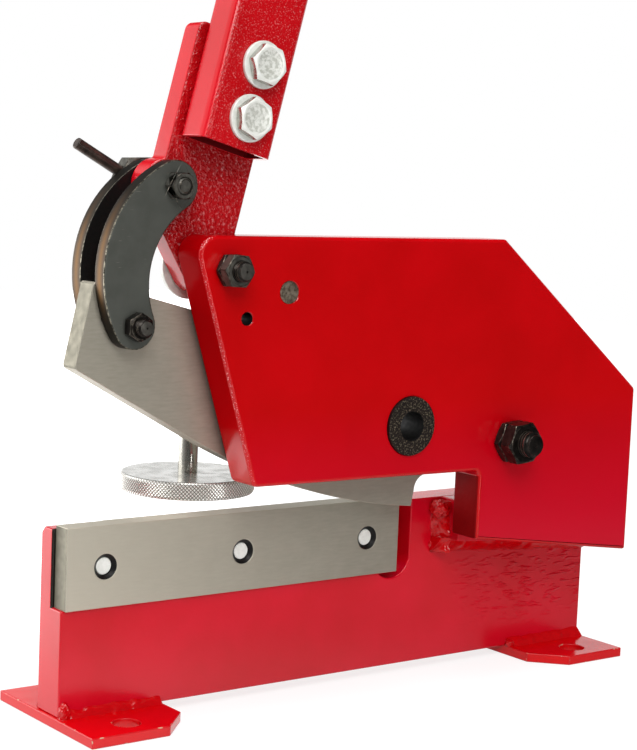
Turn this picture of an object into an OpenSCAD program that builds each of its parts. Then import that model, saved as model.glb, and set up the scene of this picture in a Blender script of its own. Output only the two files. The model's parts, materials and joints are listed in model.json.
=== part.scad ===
// Bench lever shear with curved links between the lever and the moving blade.
// Millimetres. The origin is the middle of the four foot holes, on the underside of the feet.
// +X runs along the base bar towards the blade pivot, +Y points to the back and +Z up.
// Outlines of the upright plates are drawn as [X, Z] points and then given a thickness along Y.

/* [Base bar and feet] */
// Length of the base bar
bar_l = 342; // [325:1:380]
// Thickness of the base bar
bar_t = 20; // [17:0.5:26]
// Length of each foot along the bar
foot_w = 57; // [50:1:70]
// Length of each foot across the bar
foot_d = 89; // [78:1:110]
// How far the left foot stands out past the bar's end
foot_over = 1.6; // [0:0.1:4]
// Thickness of the feet
foot_t = 5; // [4:0.5:8]
// Size of the cut on the feet's inner corners
foot_cut = 16.5; // [6:0.5:20]
// Diameter of the foot holes
foot_hole_d = 13.5; // [9:0.5:16]
// Distance of the foot holes from the bar's end
foot_hole_inset = 25; // [18:0.5:30]
// Distance of the foot holes from the feet's long edges
foot_hole_edge = 14; // [11:0.5:20]
// Leg of the fillet welds on the feet
foot_weld = 5; // [3:0.5:9]

/* [Lower blade] */
// Length of the lower blade
lower_blade_l = 200; // [185:1:212]
// Height of the lower blade
lower_blade_h = 39.5; // [34:0.5:46]
// Thickness of the lower blade
lower_blade_t = 12; // [10:0.5:14]
// Distance of the lower blade from the bar's left end
lower_blade_inset = 1.4; // [0:0.1:4]
// Height of the lower blade's seat above the bench
lower_blade_seat = 56; // [48:0.5:64]
// How far the lower blade stands in front of the bar
blade_proud = 2.2; // [1.5:0.1:3]
// How far the bar's top lies below the lower blade's edge
bar_drop = 2; // [0.5:0.5:5]
// Distance between the lower blade's screws
blade_screw_pitch = 79; // [65:1:84]
// Diameter of the lower blade's screws
blade_screw_d = 8.5; // [7.5:0.1:10]
// Diameter of the countersinks on the lower blade's front
blade_sink_d = 12.8; // [11.5:0.1:15]
// How far the screw ends lie behind the lower blade's front
blade_screw_recess = 1.8; // [0.5:0.1:3]
// Radius of the cutter mark at the pocket's end
pocket_r = 12; // [9:0.5:14]
// Gap between the lower blade and the pocket's end
pocket_gap = 10; // [6:0.5:14]

/* [Pivots] */
// Distance of the blade pivot past the lower blade's right end
pivot_reach = 46.6; // [42:0.1:54]
// Height of the blade pivot above the lower blade's edge
pivot_rise = 32.3; // [29:0.1:38]
// Distance of the lever pivot from the lower blade's left end
lever_reach = 63.9; // [58:0.1:72]
// Height of the lever pivot above the lower blade's edge
lever_rise = 121.7; // [117:0.1:130]
// Distance between the lever pivot and the upper link bolt
crank_r = 44.4; // [42:0.1:50]
// Direction of the upper link bolt seen from the lever pivot
crank_angle = 121.5; // [118:0.1:128]
// Distance between the two link bolts
link_l = 67.3; // [63:0.1:72]
// Direction of the lower link bolt seen from the upper one
link_angle = 252.8; // [250:0.1:258]
// Swing of the lever from rest to a closed blade
lever_swing = 100; // [80:1:105]
// Degrees that the blade turns for each degree of the lever
blade_ratio = 0.174; // [0.165:0.001:0.18]
// Degrees that the links turn on the lever for each degree of the lever
link_ratio = -0.94; // [-1:0.01:-0.9]

/* [Upper blade] */
// Thickness of the upper blade
upper_blade_t = 11.6; // [9:0.1:14]
// Radius of the blade's eye round its pivot
blade_eye_r = 21; // [18:0.5:25]
// Distance of the lower link bolt below the blade's top edge
blade_pin_edge = 15.2; // [13.5:0.1:18]
// Distance of the lower link bolt from the blade's left end
blade_end_reach = 21.4; // [19.5:0.1:26]
// Lean of the blade's left end
blade_end_lean = 12.4; // [0:0.1:18]
// Radius of the curved cutting edge
edge_r = 350; // [300:5:450]
// Slope of the cutting edge's straight left part
edge_angle = 28.6; // [26:0.1:30]
// Slope of the cutting edge at its right tip
tip_angle = 5.2; // [3:0.1:8]
// Distance of the tip from the lower blade's right end
tip_inset = 2.2; // [0.5:0.1:5]
// How far the tip overlaps the lower blade at rest
tip_lap = 2.3; // [1:0.1:4]
// Height of the heel's step above the lower blade's edge
heel_rise = 14; // [12:0.5:20]
// Radius of the heel's inside corner
heel_r = 8.2; // [4:0.1:9]
// Clearance between the two blades
blade_gap = 0.1; // [0.05:0.01:0.3]

/* [Cheek plate] */
// Thickness of the cheek plate
cheek_t = 19.5; // [15:0.5:25]
// Clearance between the cheek plate and the moving parts
cheek_gap = 0.15; // [0.1:0.05:0.4]
// Height of the cheek's top above the lever pivot
cheek_over = 15.8; // [13:0.1:20]
// How far the cheek's top left corner lies left of the lever pivot
cheek_left = 20.3; // [17:0.1:24]
// Slope of the cheek's left edge
cheek_slope = 18.1; // [12:0.1:24]
// Height of the throat above the lower blade's edge
throat_h = 18.5; // [14:0.5:24]
// How far the cheek's underside falls towards the throat's end
throat_fall = 1.2; // [0:0.1:3]
// Distance of the throat's end past the lower blade's right end
throat_reach = 26.4; // [20:0.1:32]
// How far the cheek's foot reaches below the bar's top at the throat
leg_left = 17; // [10:0.5:20]
// How far the cheek's foot reaches below the bar's top at the right
leg_right = 32.5; // [20:0.5:36]
// Distance of the cheek from the bar's right end
cheek_inset = 0.5; // [0:0.5:8]
// How far the sloping shoulder starts left of the blade pivot
shoulder_back = 9; // [4:0.5:20]
// Height of the sloping shoulder's lower end above the blade pivot
shoulder_rise = 24.2; // [20:0.1:30]
// Radius of the cheek's top left corner
cheek_corner_r = 9; // [3:0.5:12]
// Distance of the packing block from the throat's end
spacer_inset = 5; // [3:0.5:10]
// Height of the packing block at its left end
spacer_left_h = 22; // [18:0.5:28]
// Height of the packing block at its right end
spacer_right_h = 30.5; // [24:0.5:36]
// Leg of the fillet welds round the packing block
spacer_weld = 9; // [4:0.5:10]

/* [Bar cutter] */
// Diameter of the two hardened bushes
bush_d = 30; // [24:0.5:34]
// Diameter of the hole for round bar
bar_hole_d = 15; // [8:0.5:16]
// Distance of the bushes left of the blade pivot
bush_reach = 68.8; // [60:0.1:80]
// Height of the bushes above the blade pivot
bush_rise = 11.1; // [6:0.1:16]
// How far the cheek's bush stands out at the front
bush_proud = 1.5; // [0:0.1:3]
// Diameter of the locking hole in the cheek
lock_hole_d = 6.4; // [5:0.1:8]
// Distance of the locking hole right of the lever pivot
lock_hole_reach = 10.9; // [6:0.1:16]
// Distance of the locking hole below the lever pivot
lock_hole_drop = 22.8; // [18:0.1:28]

/* [Lever] */
// Thickness of the lever
lever_t = 12.6; // [10:0.1:15]
// Lean of the lever and handle at rest
lever_lean = 14.5; // [8:0.1:18]
// Radius of the lever's hub
hub_r = 12.6; // [12:0.1:18]
// Radius of the lever's eye round the upper link bolt
lever_eye_r = 12.4; // [11.5:0.1:14]
// Distance of the tongue's left side from the hub's middle
tongue_left = 36; // [34:0.1:38]
// Distance of the tongue's right side from the hub's middle
tongue_right = 11.9; // [9:0.1:14]
// Distance of the tongue's top from the hub's middle
tongue_top = 109; // [104:0.5:125]
// Radius of the tongue's top corners
tongue_round = 4.5; // [1:0.5:8]

/* [Handle] */
// Width of the handle tube
tube_w = 40; // [34:0.5:44]
// Depth of the handle tube
tube_d = 20.3; // [16:0.1:26]
// Wall of the handle tube
tube_wall = 2.6; // [1.5:0.1:4]
// Outer corner radius of the handle tube
tube_round = 4; // [2:0.1:6]
// Length of the handle tube
tube_l = 460; // [300:5:600]
// Distance of the tube's lower end from the hub's middle
tube_start = 54.5; // [52:0.5:58]
// Distance of the tube's middle left of the hub's middle
tube_shift = 12.6; // [10:0.1:14]
// Diameter of the handle bolts
handle_bolt_d = 11; // [8:0.5:12]
// Width across flats of the handle bolts
handle_bolt_af = 17; // [16:0.1:19]
// Distance of the lower handle bolt from the hub's middle
handle_bolt_start = 69.3; // [66:0.1:72]
// Distance between the handle bolts
handle_bolt_pitch = 25.4; // [23.5:0.1:28]
// Distance of the handle bolts right of the tube's middle
handle_bolt_shift = 1.9; // [-3:0.1:5]
// Diameter of the handle washers
handle_washer_d = 22; // [19.5:0.1:23.4]
// Length of the handle grip
grip_l = 120; // [80:1:160]
// Wall of the handle grip
grip_t = 3; // [2:0.5:5]

/* [Links] */
// Thickness of each link
link_t = 8; // [6:0.5:10]
// Radius of the links' upper end
link_top_r = 11.7; // [10:0.1:13]
// Radius of the links' lower end
link_low_r = 10.8; // [9:0.1:12]
// Radius of the links' outer curve
link_outer_r = 56.6; // [50:0.1:66]
// Radius of the links' inner curve
link_inner_r = 40.8; // [36:0.1:50]
// Clearance between the links and the lever
link_gap = 0.1; // [0.05:0.05:0.3]
// Diameter of the link bolts
link_bolt_d = 8; // [6:0.5:9]
// Diameter of the lower link bolt where it passes the blade
link_waist_d = 6; // [5:0.5:7]
// Clearance of the lower link bolt in the blade's slot
link_slot_gap = 0.6; // [0.4:0.1:1.2]
// Width across flats of the link nuts
link_nut_af = 11.8; // [11:0.1:14]
// Width across flats of the upper link bolt's head
link_head_af = 24.4; // [20:0.1:27]
// Diameter of the cross rod in the upper link bolt's head
rod_d = 5.5; // [4:0.1:6.5]
// Distance of the cross rod's end from the bolt's middle
rod_reach = 38.5; // [24:0.5:44]
// Direction of the cross rod at rest
rod_angle = 152.5; // [140:0.5:165]

/* [Pivot bolts] */
// Diameter of the blade pivot bolt
blade_pivot_d = 13.5; // [11:0.5:16]
// Width across flats of the blade pivot nuts
blade_nut_af = 20.5; // [19:0.5:24]
// Height of the blade pivot's nut
blade_nut_h = 8; // [6:0.5:11]
// Height of the blade pivot's lock nut
blade_jam_h = 5; // [4:0.5:8]
// How far the blade pivot bolt stands out of its nuts
blade_bolt_end = 7; // [2:0.5:12]
// Diameter of the lever pivot bolt
lever_pivot_d = 9.6; // [8:0.1:12]
// Width across flats of the lever pivot nuts
lever_nut_af = 14.6; // [13.5:0.1:18]
// Height of the lever pivot's nut
lever_nut_h = 5.8; // [4:0.1:8]
// Height of the lever pivot's lock nut
lever_jam_h = 3.4; // [2:0.1:6]
// How far the lever pivot bolt stands out of its nuts
lever_bolt_end = 5; // [2:0.5:10]
// Diameter of the collar behind the lever
collar_d = 32; // [26:0.2:38]
// Thickness of the collar behind the lever
collar_t = 2.5; // [2:0.5:6]

/* [Hold-down] */
// Diameter of the cross stud
stud_d = 10.9; // [9:0.1:13]
// Distance of the stud right of the lever pivot
stud_reach = 35; // [31:0.1:40]
// Distance of the stud below the lever pivot
stud_drop = 10.6; // [6:0.1:12]
// Radius of the knurled disc
disc_r = 34; // [26:0.5:36]
// Thickness of the knurled disc
disc_t = 9; // [6:0.5:13]
// Height of the disc above the lower blade's edge at rest
disc_gap = 6.6; // [6.2:0.1:12]
// Gap between the disc and the back of the upper blade
disc_clear = 0.85; // [0.5:0.05:3]
// Distance of the hold-down screw left of the stud
hold_shift = 10.4; // [6:0.1:16]
// Diameter of the hold-down screw
hold_screw_d = 10; // [8:0.5:12]
// Width of the hold-down arm
hold_arm_t = 22; // [18:0.5:28]
// Thickness of the arm's eye round the stud
hold_eye_t = 14; // [10:0.5:18]
// Height of the arm's block round the screw
hold_block_h = 17; // [14:0.5:18]
// Clearance between the arm and the moving parts in front of it
hold_arm_gap = 2; // [1:0.5:4]
// Distance of the arm's underside below the stud
hold_arm_drop = 36; // [34:0.5:40]

/* [Hidden] */
$fn = 64;
run = 0.05;
fit = 0.05;
inf = 500;

bar_front = -bar_t / 2;
bar_left = -bar_l / 2;
bar_right = bar_l / 2;
foot_hole_x = bar_l / 2 - foot_hole_inset;
foot_hole_y = foot_d / 2 - foot_hole_edge;

lower_left = bar_left + lower_blade_inset;
lower_right = lower_left + lower_blade_l;
lower_top = lower_blade_seat + lower_blade_h;
lower_mid_z = lower_blade_seat + lower_blade_h / 2;
bar_top = lower_top - bar_drop;
lower_front = bar_front - blade_proud;
lower_back = lower_front + lower_blade_t;
pocket_end = [lower_right + pocket_gap - pocket_r, lower_blade_seat + pocket_r - 4];
blade_screw_x = [for (i = [-1 : 1]) (lower_left + lower_right) / 2 + i * blade_screw_pitch];

upper_back = lower_front - blade_gap;
upper_front = upper_back - upper_blade_t;
cheek_back = upper_front - cheek_gap;
cheek_front = cheek_back - cheek_t;
lever_front = upper_front;
lever_back = lever_front + lever_t;
front_link_back = lever_front - link_gap;
front_link_front = front_link_back - link_t;
rear_link_front = max(lever_back, upper_back) + link_gap;
rear_link_back = rear_link_front + link_t;
tube_front = lever_front - tube_d;

blade_pivot = [lower_right + pivot_reach, lower_top + pivot_rise];
lever_pivot = [lower_left + lever_reach, lower_top + lever_rise];
link_top = lever_pivot + crank_r * on(crank_angle);
link_low = link_top + link_l * on(link_angle);
bush = blade_pivot + [-bush_reach, bush_rise];
lock_hole = lever_pivot + [lock_hole_reach, -lock_hole_drop];
stud = lever_pivot + [stud_reach, -stud_drop];

arm_z = lower_top + throat_h;
cheek_top = lever_pivot[1] + cheek_over;
cheek_right = bar_right - cheek_inset;
throat_x = lower_right + throat_reach;
spacer_x = throat_x + spacer_inset;

hold_x = stud[0] - hold_shift;
hold_y = upper_back + disc_clear + disc_r;
arm_r = hold_arm_t / 2;
hold_arm_z = stud[1] - hold_arm_drop;
disc_z = lower_top + disc_gap;
hold_screw_top = hold_arm_z + hold_block_h + 3;
arm_front = lever_back + hold_arm_gap;
arm_eye_back = arm_front + hold_eye_t;

lever_bolt_mid = tube_shift - handle_bolt_shift;
handle_bolts_u = [handle_bolt_start, handle_bolt_start + handle_bolt_pitch];

// Direction as a unit vector.
function on(a) = [cos(a), sin(a)];

// Angle of a vector, from 0 to 360.
function ang(v) = (atan2(v[1], v[0]) + 360) % 360;

// Points along an arc.
function arc(c, r, a0, a1, n = 12) = [for (i = [0 : n]) c + r * on(a0 + (a1 - a0) * i / n)];

// Crossing of two lines, each a point and a direction.
function meet(p, d, q, e) = p + d * ((q - p)[0] * e[1] - (q - p)[1] * e[0]) / (d[0] * e[1] - d[1] * e[0]);

// Crossing of two circles on the chosen side of the line between their middles.
function circle_meet(c1, r1, c2, r2, side) =
    let (d = norm(c2 - c1), w = (c2 - c1) / d, a = (r1 * r1 - r2 * r2 + d * d) / (2 * d))
    c1 + a * w + side * sqrt(r1 * r1 - a * a) * [-w[1], w[0]];

// Corner v between p and q, rounded with radius r.
function corner(p, v, q, r) =
    let (a = (p - v) / norm(p - v), b = (q - v) / norm(q - v), half = acos(a * b) / 2)
    let (c = v + (a + b) / norm(a + b) * r / sin(half), t = r / tan(half))
    let (a0 = ang(v + a * t - c), turn = (ang(v + b * t - c) - a0 + 540) % 360 - 180)
    arc(c, r, a0, a0 + turn, 8);

// Closed outline with a radius for each corner.
function rounded(pts, radii) = let (n = len(pts))
    [for (i = [0 : n - 1]) each corner(pts[(i + n - 1) % n], pts[i], pts[(i + 1) % n], radii[i])];

// Place of the lower link bolt on the blade, as the lever swings by t degrees.
function turned(v, a) = [v[0] * cos(a) - v[1] * sin(a), v[0] * sin(a) + v[1] * cos(a)];
function bolt_on_blade(t) =
    let (top = lever_pivot + turned(link_top - lever_pivot, t))
    let (low = top + turned(link_low - link_top, t * (1 + link_ratio)))
    blade_pivot + turned(low - blade_pivot, -blade_ratio * t);

// Outline in X and Z, given a thickness from y0 to y1.
module plate(y0, y1) {
    translate([0, y1, 0]) rotate([90, 0, 0]) linear_extrude(y1 - y0) children();
}

// Round bar along Y at the X and Z of p.
module rod_y(p, y0, y1, d) {
    translate([p[0], y1, p[1]]) rotate([90, 0, 0]) cylinder(h = y1 - y0, d = d);
}

// Six-sided head or nut along Y with both ends chamfered.
module hex_y(p, y0, y1, af, turn = 0) {
    h = y1 - y0;
    tip_r = af / sqrt(3) + 0.2;
    flat_r = af / 2 - 0.5;
    cut = (tip_r - flat_r) * 0.55;
    translate([p[0], y1, p[1]]) rotate([90, 0, 0]) intersection() {
        rotate([0, 0, turn]) cylinder(h = h, r = af / sqrt(3), $fn = 6);
        rotate_extrude() polygon([[0, 0], [flat_r, 0], [tip_r, cut], [tip_r, h - cut], [flat_r, h], [0, h]]);
    }
}

// Bolt shank along Y whose front end is chamfered.
module shank_y(p, y0, y1, d) {
    cut = d * 0.13;
    rod_y(p, y0 + cut, y1, d);
    translate([p[0], y0 + cut, p[1]]) rotate([90, 0, 0]) cylinder(h = cut, r1 = d / 2, r2 = d / 2 - cut);
}

// Straight fillet weld along X, set in the corner at y and z.
module weld_x(x0, x1, y, z, dy, leg) {
    translate([x0, 0, 0]) rotate([90, 0, 90]) linear_extrude(x1 - x0)
        polygon([[y, z], [y + dy * leg, z], [y + dy * leg * 0.42, z + leg * 0.42], [y, z + leg]]);
}

// Frame of the lever, with its hub at the origin and its length upwards.
module in_lever() {
    translate([lever_pivot[0], 0, lever_pivot[1]]) rotate([0, lever_lean, 0]) children();
}

module base_bar() {
    color("#C8202A") difference() {
        translate([bar_left, bar_front, foot_t]) cube([bar_l, bar_t, bar_top - foot_t]);
        plate(bar_front - 1, lower_back) {
            translate([bar_left - 1, lower_blade_seat])
                square([pocket_end[0] - bar_left + 1, bar_top - lower_blade_seat + 1]);
            translate([pocket_end[0] - pocket_r, pocket_end[1]])
                square([2 * pocket_r, bar_top - pocket_end[1] + 1]);
            translate(pocket_end) circle(r = pocket_r);
        }
        for (x = blade_screw_x) rod_y([x, lower_mid_z], bar_front - 1, -bar_front + 1, blade_screw_d + 2 * fit);
    }
}

module foot(side) {
    over = side < 0 ? foot_over : 0;
    color("#C8202A") difference() {
        mirror([side > 0 ? 1 : 0, 0, 0]) linear_extrude(foot_t) polygon([
            [bar_left - over, -foot_d / 2],
            [bar_left + foot_w - foot_cut, -foot_d / 2],
            [bar_left + foot_w, -foot_d / 2 + foot_cut],
            [bar_left + foot_w, foot_d / 2 - foot_cut],
            [bar_left + foot_w - foot_cut, foot_d / 2],
            [bar_left - over, foot_d / 2]]);
        for (y = [-foot_hole_y, foot_hole_y])
            translate([side * foot_hole_x, y, -1]) cylinder(h = foot_t + 2, d = foot_hole_d);
    }
}

module left_foot() {
    foot(-1);
}

module right_foot() {
    foot(1);
}

module foot_welds() {
    color("#C0222B") for (y = [-1, 1]) {
        weld_x(bar_left, bar_left + foot_w - 1, y * bar_t / 2, foot_t, y, foot_weld);
        weld_x(bar_right - foot_w + 1, bar_right, y * bar_t / 2, foot_t, y, foot_weld);
    }
}

module spacer_block() {
    color("#B01822") plate(cheek_back, bar_front) polygon([
        [spacer_x, bar_top], [spacer_x, bar_top - spacer_left_h],
        [cheek_right, bar_top - spacer_right_h], [cheek_right, bar_top]]);
}

module spacer_welds() {
    leg = min(spacer_weld, bar_front - cheek_back - 1);
    drop = spacer_right_h - spacer_left_h;
    run_x = cheek_right - spacer_x;
    color("#C0222B") {
        translate([0, 0, bar_top - spacer_left_h]) linear_extrude(spacer_left_h - 2) polygon([
            [spacer_x, bar_front], [spacer_x - leg, bar_front],
            [spacer_x - leg * 0.42, bar_front - leg * 0.42], [spacer_x, bar_front - leg]]);
        translate([spacer_x, 0, bar_top - spacer_left_h]) multmatrix([
            [1, 0, 0, 0], [0, 1, 0, 0], [-drop / run_x, 0, 1, 0], [0, 0, 0, 1]])
            rotate([90, 0, 90]) linear_extrude(run_x) polygon([
                [bar_front, 0], [bar_front, -leg],
                [bar_front - leg * 0.42, -leg * 0.42], [bar_front - leg, 0]]);
    }
}

module cheek_outline() {
    top_left = [lever_pivot[0] - cheek_left, cheek_top];
    low_left = [top_left[0] + (cheek_top - arm_z) * tan(cheek_slope), arm_z];
    polygon(rounded([
        top_left, low_left, [throat_x, arm_z - throat_fall], [throat_x, bar_top - leg_left],
        [cheek_right, bar_top - leg_right], [cheek_right, blade_pivot[1] + shoulder_rise],
        [blade_pivot[0] - shoulder_back, cheek_top]],
        [cheek_corner_r, 4, 3, 1.5, 1.5, 2.5, 2.5]));
}

module cheek_plate() {
    color("#B80008") difference() {
        plate(cheek_front, cheek_back) cheek_outline();
        rod_y(blade_pivot, cheek_front - 1, cheek_back + 1, blade_pivot_d + 2 * fit);
        rod_y(lever_pivot, cheek_front - 1, cheek_back + 1, lever_pivot_d + 2 * fit);
        rod_y(bush, cheek_front - 1, cheek_back + 1, bush_d + 2 * fit);
        rod_y(lock_hole, cheek_front - 1, cheek_back + 1, lock_hole_d);
        rod_y(stud, cheek_front - 1, cheek_back + 1, stud_d + 2 * fit);
    }
}

module cheek_bush() {
    color("#3B3634") difference() {
        rod_y(bush, cheek_front - bush_proud, cheek_back, bush_d);
        rod_y(bush, cheek_front - bush_proud - 1, cheek_back + 1, bar_hole_d);
    }
}

module lower_blade() {
    color("#9C9A8C") difference() {
        translate([lower_left, lower_front, lower_blade_seat])
            cube([lower_blade_l, lower_blade_t, lower_blade_h]);
        for (x = blade_screw_x) {
            rod_y([x, lower_mid_z], lower_front - 1, lower_back + 1, blade_screw_d + 2 * fit);
            translate([x, lower_front, lower_mid_z]) rotate([-90, 0, 0])
                cylinder(h = (blade_sink_d - blade_screw_d) / 2 - fit, d1 = blade_sink_d, d2 = blade_screw_d + 2 * fit);
        }
    }
}

module lower_blade_screws() {
    head_d = blade_screw_d * 1.6;
    color("#C9C9C4") for (x = blade_screw_x) {
        p = [x, lower_mid_z];
        rod_y(p, lower_front + blade_screw_recess, bar_t / 2 + 0.5, blade_screw_d);
        difference() {
            rod_y(p, bar_t / 2, bar_t / 2 + blade_screw_d, head_d);
            translate([x, bar_t / 2 + blade_screw_d * 0.5, lower_mid_z]) rotate([-90, 0, 0])
                cylinder(h = blade_screw_d, d = blade_screw_d * 0.92, $fn = 6);
        }
    }
}

module upper_blade_outline() {
    tip = [lower_right - tip_inset, lower_top - tip_lap];
    edge_c = tip + edge_r * on(90 - tip_angle);
    edge_end = edge_c + edge_r * on(270 - edge_angle);
    span = blade_pivot - link_low;
    top_dir = atan2(span[1], span[0]) + asin((blade_eye_r - blade_pin_edge) / norm(span));
    end_p = link_low + blade_end_reach * on(180 - blade_end_lean);
    end_dir = on(90 - blade_end_lean);
    top_p = link_low + blade_pin_edge * on(top_dir + 90);
    top_left = meet(top_p, on(top_dir), end_p, end_dir);
    low_left = meet(edge_end, on(180 - edge_angle), end_p, end_dir);
    heel_z = lower_top + heel_rise;
    heel_c = [tip[0] + 1.6 + heel_r, heel_z - heel_r];
    eye_end = -180 - asin((heel_z - blade_pivot[1]) / blade_eye_r);
    polygon(concat(
        corner(low_left, top_left, top_p, 1.5),
        arc(blade_pivot, blade_eye_r, top_dir + 90, eye_end, 36),
        arc(heel_c, heel_r, 90, 180, 10),
        arc(edge_c, edge_r, 270 - tip_angle, 270 - edge_angle, 24),
        corner(edge_end, low_left, top_left, 2.5)));
}

module upper_blade() {
    path = [for (i = [0 : 8]) bolt_on_blade(lever_swing * i / 8)];
    slot_d = link_waist_d + 2 * link_slot_gap;
    color("#A5A294") difference() {
        plate(upper_front, upper_back) upper_blade_outline();
        rod_y(blade_pivot, upper_front - 1, upper_back + 1, blade_pivot_d + 2 * run);
        rod_y(bush, upper_front - 1, upper_back + 1, bush_d + 2 * fit);
        plate(upper_front - 1, upper_back + 1) hull() for (p = path) translate(p) circle(d = slot_d);
    }
}

module blade_bush() {
    color("#4A4642") difference() {
        rod_y(bush, upper_front, upper_back, bush_d);
        rod_y(bush, upper_front - 1, upper_back + 1, bar_hole_d);
    }
}

module blade_pivot_bolt() {
    end_y = cheek_front - blade_jam_h - blade_nut_h - blade_bolt_end;
    head_y = upper_back + 2.1;
    color("#2F302E") {
        shank_y(blade_pivot, end_y, head_y + 0.5, blade_pivot_d);
        hex_y(blade_pivot, head_y, head_y + 8, blade_nut_af);
    }
}

module blade_pivot_washer() {
    color("#B9B9B2") difference() {
        rod_y(blade_pivot, upper_back + 0.1, upper_back + 2.1, blade_nut_af + 8);
        rod_y(blade_pivot, upper_back - 1, upper_back + 3, blade_pivot_d + 2 * fit);
    }
}

module blade_pivot_jam_nut() {
    color("#2F302E") difference() {
        hex_y(blade_pivot, cheek_front - blade_jam_h, cheek_front, blade_nut_af, 5);
        rod_y(blade_pivot, cheek_front - blade_jam_h - 1, cheek_front + 1, blade_pivot_d + 2 * fit);
    }
}

module blade_pivot_nut() {
    nut_y = cheek_front - blade_jam_h;
    color("#2F302E") difference() {
        hex_y(blade_pivot, nut_y - blade_nut_h, nut_y, blade_nut_af, 6);
        rod_y(blade_pivot, nut_y - blade_nut_h - 1, nut_y + 1, blade_pivot_d + 2 * fit);
    }
}

module lever_outline() {
    eye = turned(link_top - lever_pivot, lever_lean);
    gap = norm(eye);
    lift = acos((hub_r - lever_eye_r) / gap);
    web = [for (s = [-1, 1]) let (a = ang(eye) + s * lift) [hub_r * on(a), eye + lever_eye_r * on(a)]];
    circle(r = hub_r);
    translate(eye) circle(r = lever_eye_r);
    polygon([web[0][0], web[0][1], web[1][1], web[1][0]]);
    polygon(concat(
        [[0, 0], [tongue_right, 0]],
        corner([tongue_right, 0], [tongue_right, tongue_top], [-tongue_left, tongue_top], tongue_round),
        corner([tongue_right, tongue_top], [-tongue_left, tongue_top], [-tongue_left, 0], tongue_round),
        [[-tongue_left, eye[1]], eye]));
}

module lever_plate() {
    color("#B5121B") difference() {
        in_lever() plate(lever_front, lever_back) lever_outline();
        rod_y(lever_pivot, lever_front - 1, lever_back + 1, lever_pivot_d + 2 * run);
        rod_y(link_top, lever_front - 1, lever_back + 1, link_bolt_d + 2 * run);
        in_lever() for (u = handle_bolts_u)
            rod_y([-lever_bolt_mid, u], lever_front - 1, lever_back + 1, handle_bolt_d + 2 * fit);
    }
}

module lever_pivot_bolt() {
    end_y = cheek_front - lever_jam_h - lever_nut_h - lever_bolt_end;
    head_y = lever_back + 0.1 + collar_t;
    color("#2F302E") {
        shank_y(lever_pivot, end_y, head_y + 0.5, lever_pivot_d);
        hex_y(lever_pivot, head_y, head_y + 6.5, lever_nut_af);
    }
}

module lever_pivot_washer() {
    color("#B9B9B2") difference() {
        rod_y(lever_pivot, lever_back + 0.1, lever_back + 0.1 + collar_t, collar_d);
        rod_y(lever_pivot, lever_back - 1, lever_back + collar_t + 1, lever_pivot_d + 2 * fit);
    }
}

module lever_pivot_jam_nut() {
    color("#2F302E") difference() {
        hex_y(lever_pivot, cheek_front - lever_jam_h, cheek_front, lever_nut_af, 1);
        rod_y(lever_pivot, cheek_front - lever_jam_h - 1, cheek_front + 1, lever_pivot_d + 2 * fit);
    }
}

module lever_pivot_nut() {
    nut_y = cheek_front - lever_jam_h;
    color("#2F302E") difference() {
        hex_y(lever_pivot, nut_y - lever_nut_h, nut_y, lever_nut_af, -3.5);
        rod_y(lever_pivot, nut_y - lever_nut_h - 1, nut_y + 1, lever_pivot_d + 2 * fit);
    }
}

// Rectangle with rounded corners round the tube's middle line.
module tube_section(w, d, r) {
    polygon(rounded([[-w / 2, -d / 2], [w / 2, -d / 2], [w / 2, d / 2], [-w / 2, d / 2]], [r, r, r, r]));
}

// Frame of the handle tube, with its lower end at the origin.
module in_tube() {
    in_lever() translate([-tube_shift, (tube_front + lever_front) / 2, tube_start]) children();
}

module handle_tube() {
    color("#B5121B") difference() {
        in_tube() linear_extrude(tube_l) difference() {
            tube_section(tube_w, tube_d, tube_round);
            tube_section(tube_w - 2 * tube_wall, tube_d - 2 * tube_wall, max(tube_round - tube_wall, 0.4));
        }
        in_lever() for (u = handle_bolts_u)
            rod_y([-lever_bolt_mid, u], tube_front - 1, lever_front + 1, handle_bolt_d + 0.6);
    }
}

module handle_bolts() {
    head_y = tube_front - 2;
    color("#C9C9C4") in_lever() for (i = [0 : 1]) {
        p = [-lever_bolt_mid, handle_bolts_u[i]];
        rod_y(p, head_y - 0.5, lever_back - 0.4, handle_bolt_d);
        hex_y(p, head_y - handle_bolt_d * 0.47, head_y, handle_bolt_af, 47.5 + 12 * i);
    }
}

module handle_washers() {
    color("#C9C9C4") in_lever() for (u = handle_bolts_u) difference() {
        rod_y([-lever_bolt_mid, u], tube_front - 2, tube_front, handle_washer_d);
        rod_y([-lever_bolt_mid, u], tube_front - 3, tube_front + 1, handle_bolt_d + 2 * fit);
    }
}

module handle_grip() {
    color("#1C1C1C") in_tube() translate([0, 0, tube_l - grip_l]) difference() {
        linear_extrude(grip_l + grip_t) tube_section(tube_w + 2 * grip_t, tube_d + 2 * grip_t, tube_round + grip_t);
        translate([0, 0, -1]) linear_extrude(grip_l + 1)
            tube_section(tube_w + 2 * fit, tube_d + 2 * fit, tube_round + fit);
    }
}

module link_outline() {
    outer_c = circle_meet(link_top, link_outer_r - link_top_r, link_low, link_outer_r - link_low_r, 1);
    inner_c = circle_meet(link_top, link_inner_r + link_top_r, link_low, link_inner_r + link_low_r, 1);
    outer_a = ang(link_top - outer_c);
    outer_b = ang(link_low - outer_c);
    polygon(concat(
        arc(outer_c, link_outer_r, outer_a, outer_b, 24),
        arc(link_low, link_low_r, outer_b, ang(inner_c - link_low) + 360, 18),
        arc(inner_c, link_inner_r, ang(link_low - inner_c), ang(link_top - inner_c), 20),
        arc(link_top, link_top_r, ang(inner_c - link_top), outer_a + 360, 18)));
}

module link(y0, y1) {
    color("#454844") difference() {
        plate(y0, y1) link_outline();
        rod_y(link_top, y0 - 1, y1 + 1, link_bolt_d + 2 * fit);
        rod_y(link_low, y0 - 1, y1 + 1, link_bolt_d + 2 * fit);
    }
}

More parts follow.
